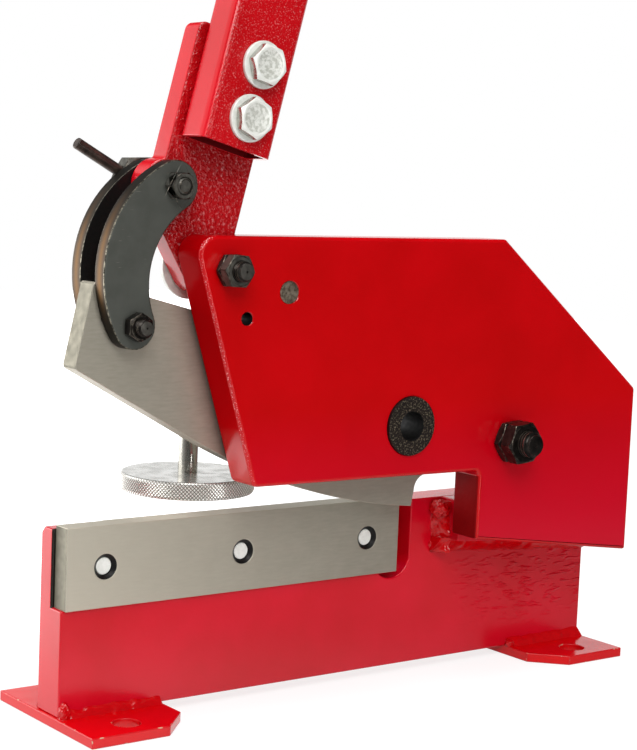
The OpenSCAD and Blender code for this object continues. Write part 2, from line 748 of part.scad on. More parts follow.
module front_link() {
    link(front_link_front, front_link_back);
}

module rear_link() {
    link(rear_link_front, rear_link_back);
}

module link_upper_bolt() {
    head_h = rod_d + 3.5;
    rod_y0 = rear_link_back + head_h / 2;
    color("#2F302E") difference() {
        union() {
            shank_y(link_top, front_link_front - 7.4, rear_link_back + 0.5, link_bolt_d);
            hex_y(link_top, rear_link_back, rear_link_back + head_h, link_head_af, 2.5);
        }
        translate([link_top[0], rod_y0, link_top[1]]) rotate([0, 90 - rod_angle, 0])
            translate([0, 0, -1]) cylinder(h = link_head_af, d = rod_d + 2 * fit);
    }
}

module link_upper_nut() {
    color("#2F302E") difference() {
        union() {
            hex_y(link_top, front_link_front - 5, front_link_front, link_nut_af, 1);
            rod_y(link_top, front_link_front - 7, front_link_front - 4, link_nut_af);
        }
        rod_y(link_top, front_link_front - 10, front_link_front + 1, link_bolt_d + 2 * fit);
    }
}

module tommy_bar() {
    color("#8E8F8A") translate([link_top[0], rear_link_back + (rod_d + 3.5) / 2, link_top[1]])
        rotate([0, 90 - rod_angle, 0]) cylinder(h = rod_reach, d = rod_d);
}

module link_lower_bolt() {
    color("#2F302E") {
        shank_y(link_low, front_link_front - 10.5, front_link_back, link_bolt_d);
        rod_y(link_low, front_link_back - 0.5, rear_link_front + 0.5, link_waist_d);
        rod_y(link_low, rear_link_front, rear_link_back + 0.5, link_bolt_d);
        hex_y(link_low, rear_link_back, rear_link_back + 5.5, link_nut_af);
    }
}

module link_lower_nut() {
    color("#2F302E") difference() {
        hex_y(link_low, front_link_front - 6, front_link_front, link_nut_af, 28);
        rod_y(link_low, front_link_front - 8, front_link_front + 1, link_bolt_d + 2 * fit);
    }
}

module hold_down_stud() {
    color("#6E6F6A") rod_y(stud, cheek_front, arm_eye_back, stud_d);
}

// Bracket: a flat eye on the stud and a block behind the blade that holds the screw.
module hold_down_arm() {
    color("#B80008") difference() {
        union() {
            plate(arm_front, arm_eye_back) hull() {
                translate(stud) circle(r = arm_r);
                translate([hold_x - arm_r, hold_arm_z]) square([2 * arm_r, hold_block_h]);
            }
            plate(arm_front, hold_y + arm_r)
                translate([hold_x - arm_r, hold_arm_z]) square([2 * arm_r, hold_block_h]);
        }
        rod_y(stud, arm_front - 1, arm_eye_back + 1, stud_d + 2 * fit);
        translate([hold_x, hold_y, hold_arm_z - 1])
            cylinder(h = hold_block_h + 2, d = hold_screw_d + 2 * run);
    }
}

module hold_down_lock_nut() {
    h = hold_screw_d * 0.8;
    color("#B9B9B2") translate([hold_x, hold_y, hold_arm_z - h]) difference() {
        cylinder(h = h, d = hold_screw_d * 1.9, $fn = 6);
        translate([0, 0, -1]) cylinder(h = h + 2, d = hold_screw_d + 2 * run);
    }
}

module hold_down_screw() {
    color("#C9C9C4") translate([hold_x, hold_y, disc_z + 2])
        cylinder(h = hold_screw_top - disc_z - 2, d = hold_screw_d);
}

module hold_down_disc() {
    edge = 0.8;
    color("#C4C4BE") translate([hold_x, hold_y, disc_z]) difference() {
        rotate_extrude() polygon([
            [0, 0], [disc_r - edge, 0], [disc_r, edge], [disc_r, disc_t - edge], [disc_r - edge, disc_t], [0, disc_t]]);
        translate([0, 0, 2]) cylinder(h = disc_t, d = hold_screw_d + 2 * fit);
    }
}

base_bar();
left_foot();
right_foot();
foot_welds();
spacer_block();
spacer_welds();
cheek_plate();
cheek_bush();
lower_blade();
lower_blade_screws();
upper_blade();
blade_bush();
blade_pivot_bolt();
blade_pivot_washer();
blade_pivot_jam_nut();
blade_pivot_nut();
lever_plate();
lever_pivot_bolt();
lever_pivot_washer();
lever_pivot_jam_nut();
lever_pivot_nut();
handle_tube();
handle_bolts();
handle_washers();
handle_grip();
front_link();
rear_link();
link_upper_bolt();
link_upper_nut();
tommy_bar();
link_lower_bolt();
link_lower_nut();
hold_down_stud();
hold_down_arm();
hold_down_lock_nut();
hold_down_screw();
hold_down_disc();
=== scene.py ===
# %% [markdown]
# # Dressing a bench lever shear
# A bench lever shear cuts sheet metal: a long handle swings a lever, two curved links push the moving
# blade past a fixed one, and a thick red cheek carries all the pivots. Its solids come from a CAD pack, in
# metres, with +Z up. The solids have the right sizes but razor edges and flat colours, so this lesson
# rounds the edges, models the small forms that make the shear look used and real, and gives every piece a
# procedural finish.

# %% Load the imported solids
import json
import math
from contextlib import contextmanager

import bmesh
import bpy
from mathutils import Matrix, Vector


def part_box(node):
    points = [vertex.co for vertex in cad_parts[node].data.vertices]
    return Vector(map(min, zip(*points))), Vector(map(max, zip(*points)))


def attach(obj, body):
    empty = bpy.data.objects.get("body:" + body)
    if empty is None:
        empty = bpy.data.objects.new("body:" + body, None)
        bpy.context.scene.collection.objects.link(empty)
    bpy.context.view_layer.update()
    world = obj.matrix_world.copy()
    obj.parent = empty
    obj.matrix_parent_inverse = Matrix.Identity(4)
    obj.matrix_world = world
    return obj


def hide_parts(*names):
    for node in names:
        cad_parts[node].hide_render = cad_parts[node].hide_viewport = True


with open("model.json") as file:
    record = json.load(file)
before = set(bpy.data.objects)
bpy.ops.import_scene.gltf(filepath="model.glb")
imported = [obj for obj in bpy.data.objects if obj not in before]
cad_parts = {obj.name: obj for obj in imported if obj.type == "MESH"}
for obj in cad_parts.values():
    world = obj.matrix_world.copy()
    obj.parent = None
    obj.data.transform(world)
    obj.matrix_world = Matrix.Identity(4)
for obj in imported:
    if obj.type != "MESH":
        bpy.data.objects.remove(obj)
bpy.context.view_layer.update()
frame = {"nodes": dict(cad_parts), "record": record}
MM = 0.001

# %% [markdown]
# ## The camera
# The photograph was taken from the front left and a little above, with a long lens. The place and turn
# below were fitted to the bar's corners. A long lens keeps parallel edges almost parallel, and the small
# shift puts the picture's middle where it was before the picture was cropped.

# %% Camera
EYE = (-0.58953, -0.73736, 0.26326)
scene = bpy.context.scene
scene.view_settings.view_transform = "Standard"
lens = bpy.data.cameras.new("photo_camera")
lens.lens = 88.008
lens.sensor_width = 36
lens.shift_x = 0.0655
camera = bpy.data.objects.new("photo_camera", lens)
scene.collection.objects.link(camera)
camera.matrix_world = Matrix.Translation(EYE)
for axis, degrees in (("Z", -36.25), ("X", -6.34), ("Y", -2.25), ("X", 90)):
    camera.matrix_world = camera.matrix_world @ Matrix.Rotation(math.radians(degrees), 4, axis)
scene.camera = camera
print("camera at", EYE)

# %% [markdown]
# ## Nodes and colours
# Every finish is a small tree of nodes. One function adds a node, sets its values and links its inputs, by
# name or in order, and one turns a colour as a painter would write it, in sRGB hex, into the linear
# numbers that a shader needs. A pattern's scale comes from the size of the real thing in millimetres. A
# finish is built in layers: each layer lays one more colour over what is there, by a share that a pattern
# gives. A MapRange node turns a measure into such a share: its list holds the measure, where it starts and
# ends, and what it gives at the start and at the end.

# %% Node helpers
def link_inputs(node, inputs):
    pairs = inputs.items() if isinstance(inputs, dict) else enumerate(inputs)
    for place, value in pairs:
        if isinstance(value, bpy.types.Node):
            value = next(socket for socket in value.outputs if socket.enabled)
        if isinstance(value, bpy.types.NodeSocket):
            node.id_data.links.new(value, node.inputs[place])
        else:
            node.inputs[place].default_value = value


def add_node(tree, kind, inputs=(), operation=None, **settings):
    made = tree.nodes.new("ShaderNode" + kind)
    if operation:
        made.operation = operation
    for name, value in settings.items():
        setattr(made, name, value)
    link_inputs(made, inputs)
    return made


def colour(hex_text):
    parts = [int(hex_text[i:i + 2], 16) / 255 for i in (1, 3, 5)]
    return [c / 12.92 if c <= 0.04045 else ((c + 0.055) / 1.055) ** 2.4 for c in parts] + [1]


def per(size_mm):
    return 1 / (size_mm * MM)


def reopen(material):
    tree = material.node_tree
    at = add_node(tree, "TexCoord").outputs["Object"]
    place = add_node(tree, "SeparateXYZ", [at]).outputs
    return tree, tree.nodes["Principled BSDF"], at, place


def new_finish(name, hex_text, sockets):
    material = bpy.data.materials.new(name)
    material.use_nodes = True
    link_inputs(material.node_tree.nodes["Principled BSDF"], {"Base Color": colour(hex_text), **sockets})
    return material, *reopen(material)


def lay_over(shader, share, hex_text):
    base = shader.inputs["Base Color"]
    under = base.links[0].from_socket if base.is_linked else list(base.default_value)
    top = add_node(shader.id_data, "Mix", {0: share, 6: under, 7: colour(hex_text)}, data_type="RGBA")
    link_inputs(shader, {"Base Color": top})


print("red paint in linear numbers:", [round(c, 4) for c in colour("#B80006")])

# %% [markdown]
# ## The studio
# The picture has a white backdrop and a dark room behind the camera: faces that look away from the camera
# mirror the white, and front faces mirror the dark room, so their red stays deep. The world is white where
# the camera looks and for mirrored rays that go back, and falls off for mirrored rays that come forward.
# Three soft boxes and a narrow strip in front give the light.

# %% World
AMBIENT = 0.38
AWAY = (0.59, 0.8, 0)
LEFT_BACK = (-0.8, 0.6, 0)
SMOOTH = {"interpolation_type": "SMOOTHSTEP"}
world = bpy.data.worlds.new("studio")
scene.world = world
world.use_nodes = True
tree = world.node_tree
direction = add_node(tree, "TexCoord").outputs["Generated"]
rays = add_node(tree, "LightPath").outputs
rise = add_node(tree, "SeparateXYZ", [direction]).outputs["Z"]
back = add_node(tree, "VectorMath", [direction, AWAY], "DOT_PRODUCT")
side = add_node(tree, "VectorMath", [direction, LEFT_BACK], "DOT_PRODUCT")
behind = add_node(tree, "MapRange", [back, 0.45, 0.75], **SMOOTH)
low_down = add_node(tree, "MapRange", [rise, 0.22, 0.45, 1, 0], **SMOOTH)
left = add_node(tree, "MapRange", [side, 0.35, 0.8, 0.015], **SMOOTH)
backdrop = add_node(tree, "Math", [behind, low_down], "MULTIPLY")
mirrored = add_node(tree, "Math", [backdrop, left], "MAXIMUM")
seen = add_node(tree, "Math", [rays["Is Camera Ray"], rays["Is Transmission Ray"]], "ADD")
plain = add_node(tree, "Math", [seen, 1 - AMBIENT, AMBIENT], "MULTIPLY_ADD")
extra = add_node(tree, "Math", [mirrored, AMBIENT], "SUBTRACT")
level = add_node(tree, "Math", [rays["Is Glossy Ray"], extra, plain], "MULTIPLY_ADD")
link_inputs(tree.nodes["Background"], {"Color": colour("#FFFFFF"), "Strength": level})
print("world with ambient level", AMBIENT)

# %% Soft boxes
AIM = Vector((-0.02, 0, 0.15))


def soft_box(name, place, width, height, watts):
    lamp = bpy.data.lights.new(name, "AREA")
    lamp.shape = "RECTANGLE"
    lamp.size = width
    lamp.size_y = height
    lamp.energy = watts
    box = bpy.data.objects.new(name, lamp)
    scene.collection.objects.link(box)
    toward = (AIM - Vector(place)).to_track_quat("-Z", "Y")
    box.matrix_world = Matrix.Translation(place) @ toward.to_matrix().to_4x4()
    box.visible_camera = False


soft_box("key_box", (-0.75, -1.2, 1.3), 0.9, 0.9, 19)
soft_box("side_box", (-0.66, 0.6, 0.24), 0.9, 0.46, 4.4)
soft_box("top_box", (-0.1, 0.1, 1.8), 1.2, 1.2, 23)
soft_box("front_strip", (0.05, -1.35, 0.18), 0.18, 0.6, 2.6)

# %% [markdown]
# ## The floor
# The floor is a plain white table. What the camera and mirrored rays see is mostly an even white glow,
# with a share of real light in it so that the shear's shadow stays. The glow rises to full white at the
# far end, so that no horizon shows, and mirrored rays see it fade towards the dark room in front. At the
# back left it glows twice as bright, a painted light that the shear's left faces mirror. Light that
# bounces from it is that of plain paper.

# %% Table top
def take(*pieces):
    bpy.ops.object.select_all(action="DESELECT")
    for piece in pieces:
        piece.select_set(True)
    bpy.context.view_layer.objects.active = pieces[0]


@contextmanager
def editing(piece):
    take(piece)
    bpy.ops.object.mode_set(mode="EDIT")
    yield
    bpy.ops.object.mode_set(mode="OBJECT")


def new_shape(name, add, **settings):
    bpy.ops.object.select_all(action="DESELECT")
    add(**settings)
    bpy.context.object.name = name
    return bpy.context.object


TABLE_SIZE = (4.0, 3.2, 1)
TABLE_MIDDLE = (0, 1.0, -0.0002)
floor = new_shape("white_table", bpy.ops.mesh.primitive_plane_add, size=1)
with editing(floor):
    bpy.ops.transform.resize(value=TABLE_SIZE)
    bpy.ops.transform.translate(value=TABLE_MIDDLE)
print("floor", [round(v, 2) for v in floor.dimensions])

# %% Table paper
FRONT_RIGHT = (0.59, -0.8, 0)
FRONT_LEFT = (-0.59, -0.8, 0)
BACK_LEFT = (-0.6, 0.8, 0)
# White paper that keeps a soft grey shadow, shows no horizon and glows twice as bright at the back left, as
# painted light that the shear's left faces mirror.
paper, tree, _, at, place = new_finish("white_table_paper", "#FFFFFF", {})
rays = add_node(tree, "LightPath").outputs
bounce = add_node(tree, "BsdfDiffuse", {"Color": colour("#E1E1E1")})
shade = add_node(tree, "BsdfDiffuse", {"Color": colour("#959595")})
ahead = add_node(tree, "VectorMath", [at, FRONT_RIGHT], "DOT_PRODUCT")
toward = add_node(tree, "VectorMath", [at, FRONT_LEFT], "DOT_PRODUCT")
nearer = add_node(tree, "Math", [toward, 0.15], "SUBTRACT")
out = add_node(tree, "Math", [ahead, nearer], "MAXIMUM")
edge = add_node(tree, "MapRange", [out, -0.08, 0.16, 1, 0.28], **SMOOTH)
room = add_node(tree, "MapRange", [out, 0.25, 0.65, 1, 0.1], **SMOOTH)
front = add_node(tree, "Math", [edge, room], "MULTIPLY")
far = add_node(tree, "MapRange", [place["Y"], 0.15, 1.3, 0.78, 1])
beside = add_node(tree, "VectorMath", [at, BACK_LEFT], "DOT_PRODUCT")
# The glowing patch at the back left is painted light for the left faces to mirror.
bright = add_node(tree, "MapRange", [beside, 0.12, 0.35, 1, 2], **SMOOTH)
strength = add_node(tree, "Math", [far, bright], "MULTIPLY")
glow = add_node(tree, "Emission", {"Color": colour("#FFFFFF"), "Strength": strength})
lit = add_node(tree, "AddShader", [shade, glow])
fade = add_node(tree, "Mix", {0: rays["Is Glossy Ray"], 2: 1.0, 3: front})
dark = add_node(tree, "Emission", {"Strength": 0.0})
shown = add_node(tree, "MixShader", [fade, dark, lit])
direct = add_node(tree, "Math", [rays["Is Camera Ray"], rays["Is Glossy Ray"]], "ADD")
either = add_node(tree, "Math", [direct, rays["Is Transmission Ray"]], "ADD")
mixed = add_node(tree, "MixShader", [either, bounce, shown])
link_inputs(tree.nodes["Material Output"], {"Surface": mixed})
floor.data.materials.append(paper)
print("made", paper.name)

# %% [markdown]
# ## Red paint
# The whole stand is sprayed with one red enamel, but it dries differently on each part. On the ground
# cheek it lies smooth and glossy, on the rolled bar it has a light orange peel, on the steel tube the peel
# is strong and fine, and on the cast lever it follows the lumps of the sand mould. Only the size and
# height of the peel and of the lumps differ, so one function mixes them all from these millimetres. Where
# grains should glitter, pale dots of painted highlight are laid over the red, in a given size, strength and
# top height.

# %% Paint finishes
EVERYWHERE = 1000
BELOW_TUBE = 278


def red_paint(name, light, dark, rough, peel, lumps, drops=(0, 1), ior=1.5, painted_glint=None):
    material, tree, shader, at, place = new_finish(name, dark, {"Roughness": rough, "IOR": ior})
    cloud = add_node(tree, "TexNoise", {"Vector": at, "Scale": per(45), "Detail": 3.0})
    tone = add_node(tree, "MapRange", [cloud, 0.35, 0.65])
    lay_over(shader, tone, light)
    fine = add_node(tree, "TexNoise", {"Vector": at, "Scale": per(peel[0]), "Detail": 1.0})
    coarse = add_node(tree, "TexNoise", {"Vector": at, "Scale": per(lumps[0]), "Detail": 2.0})
    drop = add_node(tree, "MapRange", [coarse, *drops], **SMOOTH)
    low = add_node(tree, "Bump", {"Height": drop, "Distance": lumps[1] * MM})
    top = add_node(tree, "Bump", {"Height": fine, "Distance": peel[1] * MM, "Normal": low})
    link_inputs(shader, {"Normal": top})
    # Pale painted glints stand in for the highlights on the grains.
    if painted_glint:
        size_mm, share, top_mm = painted_glint
        grain = add_node(tree, "TexNoise", {"Vector": at, "Scale": per(size_mm), "Detail": 3.0})
        tips = add_node(tree, "MapRange", [grain, 0.56, 0.74, 0, share])
        under = add_node(tree, "Math", [place["Z"], top_mm * MM], "LESS_THAN")
        glint = add_node(tree, "Math", [tips, under], "MULTIPLY")
        lay_over(shader, glint, "#F2B4B4")
    return material


# A deep, even red with mirror-like edges, and a crimson tint low down, where the enamel ran thicker.
gloss_red_paint = red_paint("gloss_red_paint", "#BA0006", "#B00003", 0.16, (1.2, 0.012), (6, 0.03))
tree, shader, _, place = reopen(gloss_red_paint)
thicker = add_node(tree, "MapRange", [place["Z"], 150 * MM, 76 * MM])
lay_over(shader, thicker, "#BE0020")
# The same red, thick on a rounded edge, where its peel breaks the highlight into grains.
edge_red_paint = red_paint("edge_red_paint", "#C00008", "#B20004", 0.18, (0.9, 0.1), (5, 0.06))
# A paler, softer red with a faint haze.
satin_red_paint = red_paint("satin_red_paint", "#CC0522", "#C00318", 0.2, (1.6, 0.03), (9, 0.06))
# A wet-looking red that mirrors what stands on it.
foot_red_paint = red_paint("foot_red_paint", "#D6020A", "#CC0108", 0.16, (1.8, 0.02), (12, 0.08))
# Fine grains, with pale painted glints over them.
tube_red_paint = red_paint(
    "tube_red_paint", "#BC0612", "#AE040C", 0.2, (1.1, 0.24), (4, 0.1), painted_glint=(0.8, 0.26, EVERYWHERE))
# Smooth red on narrow sides and ends, which mirrors the white backdrop.
side_red_paint = red_paint("side_red_paint", "#D0041A", "#C40212", 0.2, (1.6, 0.02), (9, 0.04), ior=1.6)
# Coarse lumps on a dark red, with white painted glints that stop below the tube, where the tube shades the
# lever.
cast_red_paint = red_paint(
    "cast_red_paint", "#B20610", "#980308", 0.2, (1.2, 0.14), (2.4, 0.26), (0.42, 0.7),
    painted_glint=(1.6, 0.4, BELOW_TUBE))
print("paints:", [m.name for m in bpy.data.materials if "red_paint" in m.name])

# %% [markdown]
# ## Steel finishes
# The blades are ground on a flat wheel, which leaves fine lines along the edge and a warm grey. The links
# are flame-cut and blackened, with tan rims where the heat went and bright edges where they rub. The nuts
# are black oxide, which is a thin dark skin on steel, and the bolts and washers of the handle are zinc
# plated, pale and a little mottled. A flat grey would look like plastic, so each skin is mixed from two
# tones, in spots of a real size that change its gloss too.

# %% Ground blade steel
def ground_steel_finish(name):
    material, tree, shader, at, _ = new_finish(name, "#ACA697", {"Metallic": 0.7})
    along = add_node(tree, "Mapping", {"Vector": at, "Scale": (per(6), per(0.9), per(0.9))})
    lines = add_node(tree, "TexNoise", {"Vector": along, "Scale": 1.0, "Detail": 3.0})
    cloud = add_node(tree, "TexNoise", {"Vector": at, "Scale": per(12), "Detail": 4.0})
    both = add_node(tree, "Math", [lines, cloud], "ADD")
    tone = add_node(tree, "MapRange", [both, 0.7, 1.3])
    lay_over(shader, tone, "#B8B2A3")
    worn = add_node(tree, "MapRange", [tone, 0, 1, 0.51, 0.45])
    bump = add_node(tree, "Bump", {"Height": lines, "Distance": 0.006 * MM})
    link_inputs(shader, {"Roughness": worn, "Normal": bump})
    return material


# A warm grey with faint lines along the edge, drawn coarser than real ones so that they show.
ground_steel = ground_steel_finish("ground_steel")
print("made", ground_steel.name)

# %% Mottled steel skins
SOFT_CLOUDS = (0.3, 0.7)
SPECKLED = (0.4, 0.6)


def mottled_metal(name, light, dark, rough, spot_mm, metallic=1.0, edges=(0.35, 0.65), bump_mm=0.02):
    material, tree, shader, at, _ = new_finish(name, dark, {"Metallic": metallic})
    spots = add_node(tree, "TexNoise", {"Vector": at, "Scale": per(spot_mm), "Detail": 5.0})
    tone = add_node(tree, "MapRange", [spots, *edges])
    lay_over(shader, tone, light)
    worn = add_node(tree, "MapRange", [tone, 0, 1, rough + 0.08, rough - 0.06])
    bump = add_node(tree, "Bump", {"Height": spots, "Distance": bump_mm * MM})
    link_inputs(shader, {"Roughness": worn, "Normal": bump})
    return material


# A dull black-green face with soft clouds.
blackened_steel = mottled_metal("blackened_steel", "#5E605A", "#4E504A", 0.36, 14, 0.45, SOFT_CLOUDS)
# Broken bright lines where the links' edges rub.
worn_edge_steel = mottled_metal("worn_edge_steel", "#948E7E", "#3A3832", 0.4, 1.4, edges=SPECKLED)
# A black skin with a little brown in it.
black_oxide = mottled_metal("black_oxide", "#3A3531", "#1C1917", 0.32, 4, 0.8)
# A brown-black drawn rod.
rod_steel = mottled_metal("rod_steel", "#54473F", "#2C2522", 0.36, 5, 0.6)
# Black oxide rubbed through on the corners.
rubbed_oxide = mottled_metal("rubbed_oxide", "#746D62", "#2E2A26", 0.36, 2, edges=(0.42, 0.6))
# The crests of the threads, where the skin has worn to brown steel.
thread_steel = mottled_metal("thread_steel", "#A2978A", "#6A6055", 0.4, 3)
# A pale, cloudy plating.
zinc_plate = mottled_metal("zinc_plate", "#EEEFE9", "#DFE0D9", 0.36, 3, 0.15)
# Plating with a rough, speckled middle.
stamped_zinc = mottled_metal("stamped_zinc", "#E8E9E2", "#BCBDB3", 0.42, 1.4, 0.2, SPECKLED, 0.12)
# Dark brown steel with pale flecks.
hardened_bush = mottled_metal("hardened_bush", "#A2937A", "#1E1512", 0.46, 0.9, 0.5, (0.52, 0.76), 0.05)
# Near-black painted shade for holes, rims and faces hidden in gaps.
bush_shadow_skin = mottled_metal("bush_shadow_skin", "#141210", "#090808", 0.5, 2, 0.4, SPECKLED)
# Sawn steel, darker and rougher than the ground faces.
sawn_steel = mottled_metal("sawn_steel", "#8A8575", "#7C786A", 0.55, 4, 0.6, SOFT_CLOUDS)
# Bright drawn steel that mirrors the room in stripes.
drawn_steel = mottled_metal("drawn_steel", "#B4B2AB", "#9A978F", 0.2, 5, 0.8)
# Turned steel, bright and smooth.
turned_steel = mottled_metal("turned_steel", "#E8E8E4", "#E0E0DB", 0.24, 8, 0.8, bump_mm=0.004)
# A plain end with brown stains.
stud_steel = mottled_metal("stud_steel", "#A09482", "#5A4C3E", 0.42, 1.3, 0.7, (0.36, 0.66))
# Nuts rubbed grey by the spanner.
worn_oxide = mottled_metal("worn_oxide", "#66645D", "#45433D", 0.42, 3, 0.6)
# A bolt's end as the lathe left it, dull and grey.
bolt_end_steel = mottled_metal("bolt_end_steel", "#504D47", "#3C3934", 0.5, 2.5, 0.5)
# The flanks of the zinc heads, smooth enough to mirror the red tube.
zinc_flank = mottled_metal("zinc_flank", "#C4C5BE", "#AEAFA8", 0.24, 4, 0.9)
print("finishes so far:", len(bpy.data.materials))

# %% Grip rubber
# Matt black rubber with the grain of its mould, drawn coarser than the real grain so that it shows.
grip_rubber, tree, shader, at, _ = new_finish("grip_rubber", "#1B1B1B", {"Roughness": 0.62, "IOR": 1.52})
grain = add_node(tree, "TexNoise", {"Vector": at, "Scale": per(0.8), "Detail": 2.0})
bump = add_node(tree, "Bump", {"Height": grain, "Distance": 0.06 * MM})
link_inputs(shader, {"Normal": bump})
print("made", grip_rubber.name)

# %% [markdown]
# ## Easing the edges
# No real plate has a razor edge: a file, a tumbler or the paint itself rounds it, and that thin round is
# what catches the light. Each solid is copied, its loose triangles are merged, flat neighbours become one
# face, and a bevel rounds what is left. The copy then stands for the solid and moves with the same body.

# %% Copy a solid
body_of = {node: body for body, nodes in frame["record"]["behaviour"]["bodies"].items() for node in nodes}


def finished_copy(node, name, finishes):
    piece = bpy.data.objects.new(name, frame["nodes"][node].data.copy())
    scene.collection.objects.link(piece)
    take(piece)
    bpy.ops.mesh.customdata_custom_splitnormals_clear()
    with editing(piece):
        bpy.ops.mesh.select_all(action="SELECT")
        bpy.ops.mesh.remove_doubles(threshold=0.004 * MM)
        bpy.ops.mesh.dissolve_limited(angle_limit=math.radians(0.4))
    piece.data.materials.clear()
    for finish in finishes:
        piece.data.materials.append(finish)
    return piece


def stand_for(piece, node):
    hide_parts(node)
    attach(piece, body_of[node])


print("nodes on bodies:", len(body_of))

# %% Round its edges
def modify(piece, kind, **settings):
    take(piece)
    made = piece.modifiers.new(kind, kind)
    for name, value in settings.items():
        setattr(made, name, value)
    bpy.ops.object.modifier_apply(modifier=made.name)


def smooth_below(degrees):
    bpy.ops.object.shade_smooth_by_angle(angle=math.radians(degrees))


def settle(piece, smooth):
    take(piece)
    smooth_below(smooth)
    modify(piece, "WEIGHTED_NORMAL", keep_sharp=True)


def ease(piece, width, segments=2, angle=30, edge_slot=-1, smooth=32, limit="ANGLE"):
    modify(piece, "BEVEL", width=width * MM, segments=segments, limit_method=limit, material=edge_slot,
           angle_limit=math.radians(angle), use_clamp_overlap=False, loop_slide=False)
    settle(piece, smooth)


def eased(node, name, slot, finishes, width, **bevel):
    piece = finished_copy(node, name, finishes)
    ease(piece, width, **bevel)
    stand_for(piece, node)
    return piece


print("usual bevel: 2 segments, on edges sharper than 30 degrees")

# %% [markdown]
# ## The stand
# The bar, its two feet and the packing block are rolled and sawn steel under satin paint. Their edges are
# rounded by about a millimetre, mostly by the paint, and the bar's upper back edge keeps the larger round
# of the rolling mill. On the bar's right front the paint has run into short level wrinkles, and along the
# feet's edges it is chipped down to the steel, so those two places get finishes of their own.

# %% Wrinkled and chipped paint
# Satin red with short level wrinkles on the right, and at the left end of the pocket bare steel, painted
# near-black to add the shade in the slot.
wrinkled_red_paint = red_paint("wrinkled_red_paint", "#CC0522", "#C00318", 0.2, (1.6, 0.03), (9, 0.06))
tree, shader, at, place = reopen(wrinkled_red_paint)
smooth_normal = shader.inputs["Normal"].links[0].from_socket
runs = add_node(tree, "Mapping", {"Vector": at, "Scale": (per(11), per(5), per(3.2))})
wrinkles = add_node(tree, "TexNoise", {"Vector": runs, "Scale": 1.0, "Detail": 2.0})
folds = add_node(tree, "MapRange", [wrinkles, 0.5, 0.68], **SMOOTH)
right = add_node(tree, "MapRange", [place["X"], 66 * MM, 125 * MM])
above = add_node(tree, "MapRange", [place["Z"], 16 * MM, 36 * MM])
region = add_node(tree, "Math", [right, above], "MULTIPLY")
height = add_node(tree, "Math", [folds, region], "MULTIPLY")
sag = add_node(tree, "Bump", {"Height": height, "Distance": 0.62 * MM, "Normal": smooth_normal})
link_inputs(shader, {"Normal": sag})
pocket_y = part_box("lower_blade")[1].y
wall = add_node(tree, "Math", [place["Y"], pocket_y, 0.6 * MM], "COMPARE")
at_left = add_node(tree, "Math", [place["X"], -150 * MM], "LESS_THAN")
bare_shaded_pocket = add_node(tree, "Math", [wall, at_left], "MULTIPLY")
lay_over(shader, bare_shaded_pocket, "#1E1A18")

# Red edges with small beige chips where the bench has rubbed them.
chipped_red_paint, tree, shader, at, _ = new_finish(
    "chipped_red_paint", "#C80612", {"Roughness": 0.3, "IOR": 1.5})
chips = add_node(tree, "TexNoise", {"Vector": at, "Scale": per(3.5), "Detail": 4.0})
bare = add_node(tree, "MapRange", [chips, 0.64, 0.67])
lay_over(shader, bare, "#C9A98C")
print("made", wrinkled_red_paint.name, chipped_red_paint.name)

# %% Choosing parts by place or normal
def choose(kind, test):
    bpy.ops.mesh.select_mode(type=kind)
    bpy.ops.mesh.select_all(action="DESELECT")
    mesh = bpy.context.edit_object.data
    shape = bmesh.from_edit_mesh(mesh)
    if kind == "FACE":
        parts = [(f, f.calc_center_median(), f.normal) for f in shape.faces]
    elif kind == "EDGE":
        ends = [(e, e.verts[0].co, e.verts[1].co) for e in shape.edges]
        parts = [(e, (start + end) / 2, end - start) for e, start, end in ends]
    else:
        parts = [(v, v.co, v.normal) for v in shape.verts]
    chosen = [part for part, place, way in parts if test(place, way)]
    for part in chosen:
        part.select_set(True)
    shape.select_flush_mode()
    bmesh.update_edit_mesh(mesh)
    return len(chosen)


def paint_faces(piece, slot, test):
    chosen = [face for face in piece.data.polygons if test(face.center, face.normal)]
    for face in chosen:
        face.material_index = slot
    return len(chosen)


def report(*pieces):
    for piece in pieces:
        print(piece.name, len(piece.data.polygons), "faces")


print("parts can be chosen as FACE, EDGE or VERT")

# %% Bar, feet and packing block
bar = finished_copy("base_bar", "painted_bar", [wrinkled_red_paint, side_red_paint])
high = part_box("base_bar")[1]
with editing(bar):
    rolled = choose("EDGE", lambda place, way: min(place.y - high.y, place.z - high.z) > -0.05 * MM)
    bpy.ops.mesh.bevel(offset=3 * MM, segments=5, affect="EDGES", loop_slide=False)
ease(bar, 0.8, 3)
stand_for(bar, "base_bar")
paint_faces(bar, 1, lambda place, way: way.x < -0.9)
foot_finishes = [foot_red_paint, chipped_red_paint]
for node in ("left_foot", "right_foot"):
    report(eased(node, "painted_" + node, "red_satin", foot_finishes, 0.5, segments=3, edge_slot=1))
block = eased("spacer_block", "painted_packing_block", "red_satin", [satin_red_paint], 0.6)
report(bar, block)
print("rolled edges rounded:", rolled)

# %% [markdown]
# ## Weld beads
# The feet and the packing block are welded on by hand, so the beads swell and sink along their length. A
# swept tube would look too even, so a bead starts as a round bar laid in the corner, is cut back to the
# sliver that shows, gets many cross cuts, and is then pushed about by a cloud of noise. Where a bead ends,
# the last drop of weld stays as a blob.

# %% Bead makers
# A wet red that gathers on the beads.
weld_red_paint = red_paint("weld_red_paint", "#C4040D", "#B60209", 0.15, (1.8, 0.02), (6, 0.06))


def lumpy(piece, lump_mm, lump_height):
    clouds = bpy.data.textures.new(piece.name + "_lumps", "CLOUDS")
    clouds.noise_scale = lump_mm * MM
    modify(piece, "DISPLACE", texture=clouds, texture_coords="LOCAL",
           strength=lump_height * MM, mid_level=0.5)
    smooth_below(60)
    piece.data.materials.append(weld_red_paint)
    return piece


def cut_flat(spot, kept_side):
    bpy.ops.mesh.select_all(action="SELECT")
    bpy.ops.mesh.bisect(plane_co=spot, plane_no=kept_side, clear_inner=True, use_fill=True)


